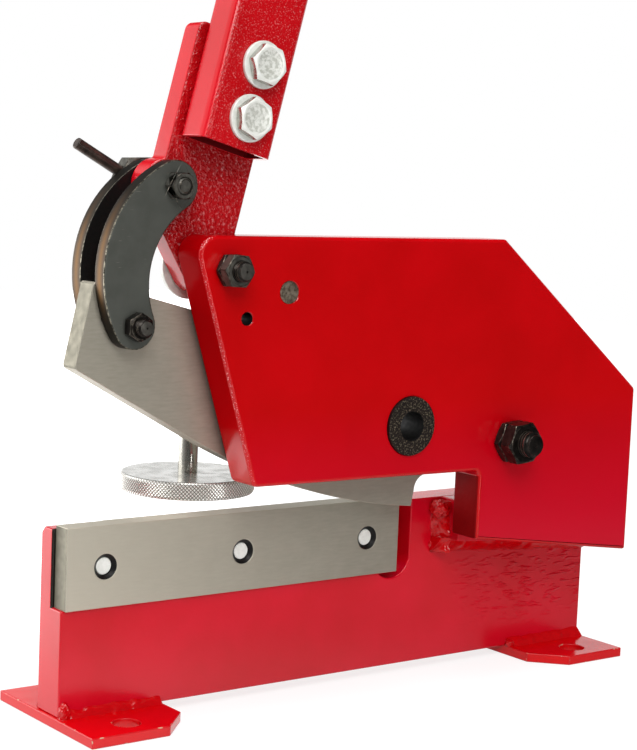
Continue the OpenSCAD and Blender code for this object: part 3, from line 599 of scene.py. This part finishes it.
def weld_bead(name, start, end, out, up, leg, lump_mm, lump_height):
    start, end, out, up = Vector(start) * MM, Vector(end) * MM, Vector(out), Vector(up)
    run = end - start
    way = run.normalized()
    up = (up - way * up.dot(way)).normalized()
    centre = (start + end) / 2 - (out + up) * leg * 0.9 * MM
    bead = new_shape(name, bpy.ops.mesh.primitive_cylinder_add,
                     vertices=72, radius=leg * 2.1 * MM, depth=run.length)
    bead.matrix_world = Matrix.Translation(centre) @ run.to_track_quat("Z", "Y").to_matrix().to_4x4()
    bpy.ops.object.transform_apply()
    with editing(bead):
        for side in (out, up):
            cut_flat(start - side * 0.8 * MM, side)
        choose("EDGE", lambda place, along: abs(along.dot(way)) > run.length * 0.9)
        bpy.ops.mesh.subdivide(number_cuts=int(run.length / MM))
    return lumpy(bead, lump_mm, lump_height)


def weld_blob(name, place, size, lump_height):
    blob = new_shape(name, bpy.ops.mesh.primitive_ico_sphere_add, subdivisions=5, radius=1)
    blob.matrix_world = Matrix.Translation(Vector(place) * MM) @ Matrix.Diagonal((*(Vector(size) * MM), 1))
    bpy.ops.object.transform_apply()
    return lumpy(blob, 2.5, lump_height)


def join(*pieces):
    take(*pieces)
    bpy.ops.object.join()
    return pieces[0]


print("made", weld_red_paint.name)

# %% Beads on the feet
foot_beads = []
for x0, x1, leg, swell in ((-169.6, -114.8, 3.5, 2.8), (114.8, 170.2, 4.4, 2.4)):
    for side in (-1, 1):
        start, end = (x0, side * 10, 5), (x1, side * 10, 5)
        foot_beads.append(weld_bead("foot_weld", start, end, (0, side, 0), (0, 0, 1), leg, 7, swell))
foot_beads.append(weld_blob("weld_end_left", (-168.4, -10.8, 6.5), (2.8, 2.8, 6), 2.0))
foot_beads.append(weld_blob("weld_end_right", (116.2, -11.6, 6), (2.8, 2.8, 2.6), 0.8))
foot_welds = join(*foot_beads)
foot_welds.name = "foot_weld_beads"
stand_for(foot_welds, "foot_welds")
report(foot_welds)

# %% Beads on the packing block
block_welds = join(
    weld_bead("side_weld", (61.8, -10, 64), (61.8, -10, 91.5), (-1, 0, 0), (0, -1, 0), 7.2, 4.5, 3.8),
    weld_bead("under_weld", (55, -10, 72), (170.1, -10, 63), (0, -1, 0), (0, 0, -1), 7.6, 8, 1.5),
    weld_blob("weld_end_top", (57.5, -13.5, 88), (5.5, 5, 4.5), 3.2))
block_welds.name = "packing_weld_beads"
stand_for(block_welds, "spacer_welds")
report(block_welds)

# %% [markdown]
# ## The cheek
# The cheek is a thick plate with a generous round on its outline, and its gloss paint makes that round a
# bright line, broken into grains by pale painted highlights along the left front edge. Its plain outline is
# rounded first and the bores are cut afterwards, each by a cylinder with flared ends, so that every hole
# keeps a small even chamfer. The bush is a separate hardened ring that stands proud of the paint.

# %% Cheek finishes
# A dull red on the flame-cut wall of the throat, painted darker to stand for the shade there.
throat_shade_red_paint = red_paint("throat_shade_red_paint", "#8A080C", "#740407", 0.5, (1.6, 0.03), (5, 0.2), ior=1.15)
# Gloss on the cheek's slanting side, dulled by oil except at its lower end, which mirrors the white table.
flank_red_paint = red_paint("flank_red_paint", "#B60108", "#AA0005", 0.2, (1.2, 0.02), (6, 0.05), ior=1.6)
tree, shader, _, place = reopen(flank_red_paint)
wiped = add_node(tree, "MapRange", [place["Z"], 142 * MM, 126 * MM, 0.008, 0.6])
link_inputs(shader, {"Specular IOR Level": wiped})
# The cheek's left front edge, with pale painted highlights laid on it as grains.
edge_glint_red_paint = red_paint(
    "edge_glint_red_paint", "#C00410", "#B00208", 0.2, (0.9, 0.12), (5, 0.06), painted_glint=(0.7, 0.9, EVERYWHERE))
cheek_finishes = [
    gloss_red_paint, edge_red_paint, bush_shadow_skin, throat_shade_red_paint, flank_red_paint, edge_glint_red_paint]
print("cheek finishes:", [finish.name for finish in cheek_finishes])

# %% Bores
LOCK_HOLE = (-94.8 * MM, 194.4 * MM)
BORE_RADII = {"blade_pivot_bolt": 6.8, "lever_pivot_bolt": 4.85, "cheek_bush": None, "hold_down_stud": None}
FLARE = 2.3 * MM


def bore_cutter(place, radius, low_y, high_y):
    cutter = new_shape("bore_cutter", bpy.ops.mesh.primitive_cylinder_add, vertices=64, radius=radius,
                       depth=high_y - low_y - 0.6 * MM, rotation=(math.pi / 2, 0, 0),
                       location=(place[0], (low_y + high_y) / 2, place[1]))
    bpy.ops.object.transform_apply()
    spread = 1 + FLARE / radius
    with editing(cutter):
        for side in (-1, 1):
            choose("FACE", lambda spot, way: way.y * side > 0.9)
            bpy.ops.mesh.extrude_region_move(TRANSFORM_OT_translate={"value": (0, side * FLARE, 0)})
            bpy.ops.transform.resize(value=(spread, 1, spread), center_override=(place[0], 0, place[1]))
    return cutter


def cut_away(piece, cutter):
    modify(piece, "BOOLEAN", object=cutter)
    bpy.data.objects.remove(cutter)


bores = [(LOCK_HOLE, 3.2 * MM)]
for node, radius in BORE_RADII.items():
    low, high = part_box(node)
    radius = radius * MM if radius else (high.x - low.x) / 2 + 0.05 * MM
    bores.append((((low.x + high.x) / 2, (low.z + high.z) / 2), radius))


def near_bore(place):
    return any(math.hypot(place.x - x, place.z - z) < radius + 0.5 * MM for (x, z), radius in bores)


print("bore radii in mm:", [round(radius / MM, 2) for spot, radius in bores])

# %% Cheek and bush
def in_lock_hole(place, way):
    return abs(way.y) < 0.3 and math.hypot(place.x - LOCK_HOLE[0], place.z - LOCK_HOLE[1]) < 3.4 * MM


def on_flank(place, way):
    return way.x < -0.3 and abs(way.y) < 0.2 and place.x < -87 * MM and not near_bore(place)


def on_left_edge(place, way):
    return way.x < -0.1 and -0.98 < way.y < -0.25 and place.x < -96 * MM


low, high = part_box("cheek_plate")
cheek = finished_copy("cheek_plate", "gloss_cheek", cheek_finishes)
with editing(cheek):
    choose("FACE", lambda place, way: abs(way.y) > 0.99 or near_bore(place))
    bpy.ops.mesh.delete(type="FACE")
    for level in (low.y, high.y):
        choose("EDGE", lambda place, way: abs(place.y - level) < 0.01 * MM and abs(way.y) < 0.01 * MM)
        bpy.ops.mesh.edge_face_add()
    bpy.ops.mesh.select_all(action="SELECT")
    bpy.ops.mesh.normals_make_consistent(inside=False)
    outline_edges = choose("EDGE", lambda place, way: abs(way.y) < 0.01 * MM)
    bpy.ops.transform.edge_bevelweight(value=1)
ease(cheek, 1.9, 5, edge_slot=1, limit="WEIGHT")
cut_away(cheek, join(*[bore_cutter(spot, radius, low.y, high.y) for spot, radius in bores]))
settle(cheek, 32)
# The lock hole's wall gets near-black painted shade.
paint_faces(cheek, 2, in_lock_hole)
paint_faces(cheek, 3, lambda place, way: way.x < -0.8 and place.x > 30 * MM and place.z < 106 * MM)
paint_faces(cheek, 4, on_flank)
glint_faces = paint_faces(cheek, 5, on_left_edge)
stand_for(cheek, "cheek_plate")
bush = eased("cheek_bush", "proud_cheek_bush", "hard_bush", [hardened_bush, bush_shadow_skin], 0.4)
# The bush's sides and bore get near-black painted shade.
paint_faces(bush, 1, lambda place, way: abs(way.y) < 0.5)
report(cheek, bush)
print("outline edges:", outline_edges, "grainy faces:", glint_faces)

# %% [markdown]
# ## The blades
# Both blades are ground on their faces, so their edges are crisp, while their ends are only sawn. The
# fixed blade is held by screws from behind, whose bright ends show deep in holes with near-black painted
# shade on their walls, and its back is relieved at the left end, where a slot shows beside the bar, dark
# with painted shade. A box takes the relief out with a Boolean, which leaves the rest of the blade as it
# was.

# %% Fixed blade
SCREWS = [(x * MM, 75.75 * MM) for x in (-148.6, -69.6, 9.4)]
RELIEF = Vector((50, 1.8, 50)) * MM
low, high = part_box("lower_blade")
# Sawn steel, with painted shade that darkens its end towards the bar.
blade_end_steel = mottled_metal("blade_end_steel", "#8A8575", "#7C786A", 0.55, 4, 0.6, SOFT_CLOUDS)
tree, shader, _, place = reopen(blade_end_steel)
end_shade = add_node(tree, "MapRange", [place["Y"], low.y + 0.15 * (high.y - low.y), high.y, 0, 0.9])
lay_over(shader, end_shade, "#3A3424")
# A painted reflection that makes the fixed blade's left half lighter, fading out towards the right.
tree, shader, _, place = reopen(ground_steel)
painted_light_left = add_node(tree, "MapRange", [place["X"], 10 * MM, -174 * MM, 0, 0.8])
lay_over(shader, painted_light_left, "#DCD5C3")


def in_screw_hole(place, way):
    return abs(way.y) < 0.9 and min(math.hypot(place.x - x, place.z - z) for x, z in SCREWS) < 6.8 * MM


blade_finishes = [ground_steel, blade_end_steel, bush_shadow_skin]
lower_blade = finished_copy("lower_blade", "ground_lower_blade", blade_finishes)
relief = new_shape("relief", bpy.ops.mesh.primitive_cube_add, size=1)
back_corner = (low.x, high.y, (low.z + high.z) / 2)
relief.matrix_world = Matrix.Translation(back_corner) @ Matrix.Diagonal((*RELIEF, 1))
cut_away(lower_blade, relief)
ease(lower_blade, 0.3, 1)
paint_faces(lower_blade, 1, lambda place, way: abs(way.x) > 0.8)
# The screw holes' walls get near-black painted shade.
paint_faces(lower_blade, 2, in_screw_hole)
stand_for(lower_blade, "lower_blade")
screws = eased("lower_blade_screws", "bright_blade_screws", "zinc", [zinc_plate], 0.8)
report(lower_blade, screws)

# %% Moving blade
FLANK_TOP = Vector((-122.1, 221.2)) * MM
FLANK_LOW = Vector((-88.0, 116.7)) * MM
# The same grinding, with a painted shadow along the line where the blade slides behind the cheek's slanting
# side.
shadow_band_steel = ground_steel_finish("shadow_band_steel")
tree, shader, _, place = reopen(shadow_band_steel)
lean = (FLANK_LOW.x - FLANK_TOP.x) / (FLANK_LOW.y - FLANK_TOP.y)
start = lean * FLANK_TOP.y - FLANK_TOP.x
slant = add_node(tree, "Math", [place["Z"], -lean, start], "MULTIPLY_ADD")
behind = add_node(tree, "Math", [place["X"], slant], "ADD")
shadow_rise = add_node(tree, "MapRange", [behind, -12 * MM, 2 * MM, 0, 0.5], **SMOOTH)
shade_cutoff = add_node(tree, "MapRange", [behind, 1 * MM, 14 * MM, 1, 0])
painted_shadow = add_node(tree, "Math", [shadow_rise, shade_cutoff], "MULTIPLY")
lay_over(shader, painted_shadow, "#1A1510")
upper_blade = finished_copy("upper_blade", "ground_upper_blade", [shadow_band_steel, sawn_steel])
ease(upper_blade, 0.3, 1)
paint_faces(upper_blade, 1, lambda place, way: way.x < -0.8)
stand_for(upper_blade, "upper_blade")
blade_bush = eased("blade_bush", "hard_blade_bush", "hard_bush", [hardened_bush], 0.3)
report(upper_blade, blade_bush)

# %% [markdown]
# ## Lever and handle
# The lever is cast: its broad faces keep the lumps of the sand mould, and its rims are ground smooth
# before painting. The handle is a steel tube bolted to it. The bolt heads have a round chamfer and a
# shallow dish, which an inset and a small push make, because an inset follows the hexagon by itself.

# %% Lever and tube
LEAN = math.radians(14.5)
TUBE_WAY = Vector((math.sin(LEAN), 0, math.cos(LEAN)))
lever = finished_copy("lever_plate", "cast_lever", [cast_red_paint, side_red_paint])
ease(lever, 1.3, 3)
paint_faces(lever, 1, lambda place, way: abs(way.y) < 0.5)
stand_for(lever, "lever_plate")
# A dull dark red inside the tube, painted dark to stand for the shade there.
tube_bore_shade_red_paint = red_paint(
    "tube_bore_shade_red_paint", "#6A060B", "#560408", 0.5, (1.6, 0.03), (5, 0.1), ior=1.15)
tube_finishes = [tube_red_paint, side_red_paint, tube_bore_shade_red_paint]
tube = finished_copy("handle_tube", "painted_handle_tube", tube_finishes)
ease(tube, 0.4)
low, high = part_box("handle_tube")
tube_mid = (low + high) / 2


def looks_inward(place, way):
    out = place - tube_mid
    return abs(way.dot(TUBE_WAY)) < 0.5 and way.dot(out - TUBE_WAY * out.dot(TUBE_WAY)) < 0


paint_faces(tube, 1, lambda place, way: abs(way.y) < 0.8)
paint_faces(tube, 2, looks_inward)
stand_for(tube, "handle_tube")
report(lever, tube)

# %% Handle bolts
HEX_EDGES = {"angle": 18, "smooth": 14}
washers = eased("handle_washers", "zinc_handle_washers", "zinc", [zinc_plate], 0.5, segments=3)
head_finishes = [zinc_plate, stamped_zinc, zinc_flank]
bolts = eased("handle_bolts", "zinc_handle_bolts", "zinc", head_finishes, 0.2, **HEX_EDGES)
paint_faces(bolts, 2, lambda place, way: abs(way.y) < 0.3)
head_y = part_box("handle_bolts")[0].y
with editing(bolts):
    heads = choose("FACE", lambda place, way: way.y < -0.99 and place.y < head_y + 0.05 * MM)
    bpy.ops.mesh.inset(thickness=0.6 * MM, depth=0)
    bpy.ops.mesh.inset(thickness=0.4 * MM, depth=-0.3 * MM)
    bpy.context.edit_object.active_material_index = 1
    bpy.ops.object.material_slot_assign()
report(washers, bolts)
print("bolt head faces dished:", heads)

# %% [markdown]
# ## The grip
# The grip is a moulded rubber sleeve with a smooth collar at each end and rings between for the hand. It
# is made upright, where cuts are easy to choose by their height, from a box: its corners are rounded, the
# hollow is pushed up from below, its walls get level cuts, and every other pair of cuts is drawn in. Only
# then is it leaned over on the tube.

# %% Ribbed grip
GRIP_W, GRIP_D, GRIP_H = 46 * MM, 26.3 * MM, 123 * MM
HOLLOW_H = 119.9 * MM
TOP_ROUND = 2.4 * MM
GROOVE = 2.6 * MM
CUTS = 59
LEVER_PIVOT = Vector((-105.7, 0, 217.2)) * MM
GRIP_FOOT = Vector((-12.6, -34.05, 394.5)) * MM
step = (GRIP_H - TOP_ROUND) / (CUTS + 1)


def on_wall(place):
    return abs(place.x) > GRIP_W / 2 - 2 * MM or abs(place.y) > GRIP_D / 2 - 2 * MM


def in_groove(place, way):
    ring = round(place.z / step)
    return 8 <= ring <= 51 and ring % 4 < 2 and on_wall(place)


grip = new_shape("ribbed_grip", bpy.ops.mesh.primitive_cube_add, size=1)
grip.scale = (GRIP_W, GRIP_D, GRIP_H)
grip.location = (0, 0, GRIP_H / 2)
bpy.ops.object.transform_apply()
with editing(grip):
    choose("EDGE", lambda place, way: abs(way.z) > GRIP_H / 2)
    bpy.ops.mesh.bevel(offset=7 * MM, segments=6, affect="EDGES")
    choose("FACE", lambda place, way: way.z < -0.9)
    bpy.ops.mesh.inset(thickness=2.95 * MM, depth=0)
    bpy.ops.mesh.extrude_region_move(TRANSFORM_OT_translate={"value": (0, 0, HOLLOW_H)})
    choose("EDGE", lambda place, way: abs(way.z) < 0.1 * MM and place.z > GRIP_H - 0.1 * MM)
    bpy.ops.mesh.bevel(offset=TOP_ROUND, segments=4, affect="EDGES")
    choose("EDGE", lambda place, way: abs(way.z) > GRIP_H / 2 and on_wall(place))
    bpy.ops.mesh.subdivide(number_cuts=CUTS)
    grooves = choose("VERT", in_groove)
    bpy.ops.transform.resize(
        value=(1 - GROOVE / GRIP_W, 1 - GROOVE / GRIP_D, 1), center_override=(0, 0, GRIP_H / 2))
modify(grip, "BEVEL", width=0.35 * MM, segments=2, limit_method="ANGLE", angle_limit=math.radians(25))
smooth_below(50)
on_tube = Matrix.Rotation(LEAN, 4, "Y") @ Matrix.Translation(GRIP_FOOT)
grip.matrix_world = Matrix.Translation(LEVER_PIVOT) @ on_tube
bpy.ops.object.transform_apply()
grip.data.materials.append(grip_rubber)
stand_for(grip, "handle_grip")
report(grip)
print("groove points:", grooves)

# %% [markdown]
# ## Links
# The links carry the whole force. Their faces are black with a few scratches, their edges are rubbed
# bright, and the flame that cut them left a brown band along the middle of each rim. The band is measured
# from the middle of each link, so that one finish serves both, and fades in and out along the curve.

# %% Rim and face finishes
LINKS_MID_Y = 28 * MM
LINK_PITCH = 10.4 * MM
# Dark flame-cut steel with a wandering tan band, where the heat went.
heat_tinted_rim, tree, shader, at, place = new_finish(
    "heat_tinted_rim", "#1E1C19", {"Metallic": 1.0, "Roughness": 0.46})
streaks = add_node(tree, "TexNoise", {"Vector": at, "Scale": per(16), "Detail": 3.0})
fine = add_node(tree, "TexNoise", {"Vector": at, "Scale": per(1.2), "Detail": 3.0})
off = add_node(tree, "Math", [place["Y"], LINKS_MID_Y], "ADD")
across = add_node(tree, "Math", [off, LINK_PITCH], "PINGPONG")
wander = add_node(tree, "Math", [streaks, 3.4 * MM, across], "MULTIPLY_ADD")
band = add_node(tree, "MapRange", [wander, 1.2 * MM, 5.4 * MM, 1, 0.15], **SMOOTH)
below = add_node(tree, "MapRange", [place["Z"], 262 * MM, 232 * MM], **SMOOTH)
above = add_node(tree, "MapRange", [place["Z"], 186 * MM, 208 * MM], **SMOOTH)
length = add_node(tree, "Math", [below, above], "MULTIPLY")
heat = add_node(tree, "Math", [band, length], "MULTIPLY")
lay_over(shader, fine, "#34312C")
lay_over(shader, heat, "#5C4122")
bump = add_node(tree, "Bump", {"Height": fine, "Distance": 0.03 * MM})
link_inputs(shader, {"Normal": bump})

# Pale slanting scratches over the black face, 0.4 mm wide, because real hairlines would not show.
tree, shader, at, _ = reopen(blackened_steel)
slant = add_node(tree, "Mapping", {
    "Vector": at, "Rotation": (0, math.radians(-28), 0), "Scale": (per(6), per(6), per(0.4)),
})
lines = add_node(tree, "TexNoise", {"Vector": slant, "Scale": 1.0, "Detail": 1.0})
thin = add_node(tree, "MapRange", [lines, 0.76, 0.82, 0, 0.5])
lay_over(shader, thin, "#A9A698")
print("made", heat_tinted_rim.name)

# %% Links
def link_piece(node, name):
    piece = finished_copy(node, name, [blackened_steel, worn_edge_steel, heat_tinted_rim, bush_shadow_skin])
    with editing(piece):
        choose("FACE", lambda place, way: abs(way.y) > 0.99)
        bpy.ops.mesh.inset(thickness=1.2 * MM, depth=0)
    ease(piece, 0.45, edge_slot=1)
    stand_for(piece, node)
    for face in piece.data.polygons:
        if abs(face.normal.y) < 0.2 and face.material_index == 0:
            face.material_index = 2
    return piece


front_link = link_piece("front_link", "front_curved_link")
rear_link = link_piece("rear_link", "rear_curved_link")
# The rear link's front face, hidden between the links, gets near-black painted shade.
paint_faces(rear_link, 3, lambda place, way: way.y < -0.9)
rod = eased("tommy_bar", "black_tommy_bar", "black_oxide", [rod_steel], 0.7, segments=3)
report(front_link, rear_link, rod)

# %% [markdown]
# ## Nuts and threaded bolts
# Nuts and heads keep crisp chamfers, so they are smoothed only below 14 degrees, and their bevelled
# corners are rubbed through. A bump would leave a bolt's outline smooth, so its thread is a real ridge,
# turned round the bolt and raised by one pitch each turn, which is what the Screw modifier does. The ridge
# is a plane with a short outer edge and no inner one. The end is cut square and drawn in to a chamfer in
# three steps, and a turned disc with the dent of the lathe's centre closes it. The plain bolt is cut off
# inside its nut and both are joined on.

# %% Nuts
def nut(node, wear, finish):
    report(eased(node, wear + node, "black_oxide", [finish, rubbed_oxide], 0.22, edge_slot=1, **HEX_EDGES))


BLACK_NUTS = (
    "blade_pivot_jam_nut", "blade_pivot_nut", "lever_pivot_jam_nut", "link_lower_nut", "hold_down_lock_nut")
for node in BLACK_NUTS:
    nut(node, "black_", black_oxide)
for node in ("link_upper_nut", "link_upper_bolt", "lever_pivot_nut"):
    nut(node, "worn_", worn_oxide)
for node in ("blade_pivot_washer", "lever_pivot_washer"):
    report(eased(node, "zinc_" + node, "zinc", [zinc_plate], 0.5))

# %% Thread and turned end
def thread(name, radius, pitch, length, cut):
    rod = new_shape(name, bpy.ops.mesh.primitive_plane_add, size=1, rotation=(math.pi / 2, 0, 0))
    bpy.ops.object.transform_apply()
    rod.data.materials.append(black_oxide)
    rod.data.materials.append(thread_steel)
    with editing(rod):
        choose("VERT", lambda place, way: place.x > 0)
        bpy.ops.transform.resize(value=(1, 1, 0.3), center_override=(0, 0, 0))
        choose("EDGE", lambda place, way: place.x < -0.4)
        bpy.ops.mesh.delete(type="EDGE")
        bpy.ops.mesh.select_all(action="SELECT")
        bpy.ops.transform.resize(value=(0.62 * pitch, 1, pitch), center_override=(0, 0, 0))
        bpy.ops.transform.translate(value=(radius - 0.31 * pitch, 0, 0))
    modify(rod, "SCREW", axis="Z", steps=48, render_steps=48, screw_offset=pitch,
           iterations=int(length / pitch) + 3, use_merge_vertices=True, merge_threshold=0.001 * MM)
    top = pitch + length
    drawn = 1 - cut / radius / 3
    with editing(rod):
        bpy.ops.mesh.select_all(action="SELECT")
        bpy.ops.mesh.remove_doubles(threshold=0.002 * MM)
        cut_flat((0, 0, pitch), (0, 0, 1))
        cut_flat((0, 0, top), (0, 0, -1))
        for share in (1, 0.66, 0.33):
            choose("VERT", lambda place, way: place.z > top - cut * share)
            bpy.ops.transform.resize(value=(drawn, drawn, 1), center_override=(0, 0, top))
        bpy.ops.mesh.select_all(action="SELECT")
        bpy.ops.mesh.normals_make_consistent(inside=False)
        bpy.ops.transform.translate(value=(0, 0, -top - 0.3 * MM))
    smooth_below(28)
    paint_faces(rod, 1, lambda place, way: abs(way.z) < 0.35)
    return rod


def turned_end(name, radius, depth, finish):
    end = new_shape(name, bpy.ops.mesh.primitive_cylinder_add,
                    vertices=48, radius=radius, depth=depth, location=(0, 0, -depth / 2))
    bpy.ops.object.transform_apply()
    with editing(end):
        choose("EDGE", lambda place, way: abs(way.z) < 0.01 * MM and place.z > -0.01 * MM)
        bpy.ops.mesh.bevel(offset=radius * 0.09, segments=2, affect="EDGES")
        choose("FACE", lambda place, way: way.z > 0.9 and place.z > -0.01 * MM)
        bpy.ops.mesh.inset(thickness=radius * 0.72, depth=0)
        bpy.ops.mesh.inset(thickness=radius * 0.06, depth=-radius * 0.12)
    smooth_below(28)
    end.data.materials.append(finish)
    return end


print("threads get crests of", thread_steel.name)

# %% Threaded bolts
def threaded_bolt(node, name, diameter, pitch, shown, end_finish):
    low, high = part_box(node)
    bolt = finished_copy(node, name, [black_oxide])
    ease(bolt, 0.25, **HEX_EDGES)
    cut_y = low.y + (shown + 1) * MM
    with editing(bolt):
        cut_flat((0, cut_y, 0), (0, 1, 0))
    radius = (diameter / 2 - 0.05) * MM
    end = join(thread(name + "_thread", radius, pitch * MM, (shown + 1.7) * MM, diameter * 0.1 * MM),
               turned_end(name + "_end", radius * 0.8, 3 * MM, end_finish))
    tip = Matrix.Translation(((low.x + high.x) / 2, low.y, (low.z + high.z) / 2))
    end.matrix_world = tip @ Matrix.Rotation(math.pi / 2, 4, "X")
    take(end)
    bpy.ops.object.transform_apply()
    join(bolt, end)
    stand_for(bolt, node)
    return bolt


report(threaded_bolt("blade_pivot_bolt", "threaded_blade_pivot", 13.5, 1.75, 7, black_oxide),
       threaded_bolt("lever_pivot_bolt", "threaded_lever_pivot", 9.6, 1.5, 5, bolt_end_steel),
       threaded_bolt("link_lower_bolt", "threaded_link_bolt", 8, 1.25, 4.5, bolt_end_steel))

# %% [markdown]
# ## The hold-down
# A screw with a knurled disc keeps the sheet from tipping. The knurl is cut by two crossing rollers, which
# leaves a field of small diamonds on the rim. A cylinder with many columns gets level cuts, and every
# other crossing is pushed out, as on a chessboard, because real diamonds catch the light one by one.

# %% Stud, arm and screw
stud = eased("hold_down_stud", "plain_stud", "plain_steel", [stud_steel], 0.6)
arm = eased("hold_down_arm", "hold_down_bracket", "red_satin", [satin_red_paint], 1.0, segments=3)
screw = eased("hold_down_screw", "drawn_hold_down_screw", "zinc", [drawn_steel], 0.5)
report(stud, arm, screw)

# %% Knurled disc
COLUMNS = 236
ROWS = 8
KNURL = 0.5 * MM
EDGE = 0.8 * MM
low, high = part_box("hold_down_disc")
middle = (low + high) / 2
disc_h = high.z - low.z
rim_r = (high.x - low.x) / 2
row_h = (disc_h - 2 * EDGE) / ROWS
spread = rim_r / (rim_r - KNURL)


def on_rim(place):
    return math.hypot(*(place - middle).xy) > rim_r - 2 * KNURL


def is_peak(place, way):
    out = place - middle
    row = (out.z + disc_h / 2 - EDGE) / row_h
    column = math.atan2(out.y, out.x) / math.tau * COLUMNS
    return 0.5 < row < ROWS - 0.5 and on_rim(place) and round(row + column) % 2 == 0


disc = new_shape("knurled_disc", bpy.ops.mesh.primitive_cylinder_add,
                 vertices=COLUMNS, radius=rim_r - KNURL, depth=disc_h, location=middle)
bpy.ops.object.transform_apply()
with editing(disc):
    choose("EDGE", lambda place, way: abs(abs(place.z - middle.z) - disc_h / 2) < 0.01 * MM)
    bpy.ops.mesh.bevel(offset=EDGE, segments=2, affect="EDGES")
    choose("EDGE", lambda place, way: abs(way.z) > disc_h * 0.5)
    bpy.ops.mesh.subdivide(number_cuts=ROWS - 1)
    peaks = choose("VERT", is_peak)
    bpy.ops.transform.resize(value=(spread, spread, 1), center_override=middle)
    choose("FACE", lambda place, way: abs(way.z) < 0.6 and on_rim(place))
    bpy.ops.mesh.quads_convert_to_tris(quad_method="SHORTEST_DIAGONAL")
smooth_below(20)
print("knurl peaks:", peaks)

# %% Knurl finish
# The knurl's steel, bright on the diamonds and darker in the grooves between them, as painted shade.
knurl_steel, tree, shader, at, _ = new_finish(
    "knurl_steel", "#7C7971", {"Metallic": 0.5, "Roughness": 0.34})
foot = middle - Vector((0, 0, disc_h / 2 - EDGE))
off = add_node(tree, "VectorMath", [at, foot], "SUBTRACT")
place = add_node(tree, "SeparateXYZ", [off]).outputs
angle = add_node(tree, "Math", [place["Y"], place["X"]], "ARCTAN2")
column = add_node(tree, "Math", [angle, COLUMNS / math.tau / 2], "MULTIPLY")
gaps = []
for slope in (0.5 / row_h, -0.5 / row_h):
    line = add_node(tree, "Math", [place["Z"], slope, column], "MULTIPLY_ADD")
    shift = add_node(tree, "Math", [line, 0.5], "ADD")
    gaps.append(add_node(tree, "Math", [shift, 0.5], "PINGPONG"))
near = add_node(tree, "Math", [gaps[0], gaps[1]], "MINIMUM")
shade_cutoff = add_node(tree, "MapRange", [near, 0.06, 0.26])
lay_over(shader, shade_cutoff, "#ECEBE6")
disc.data.materials.append(turned_steel)
disc.data.materials.append(knurl_steel)
paint_faces(disc, 1, lambda place, way: on_rim(place))
stand_for(disc, "hold_down_disc")
report(disc)
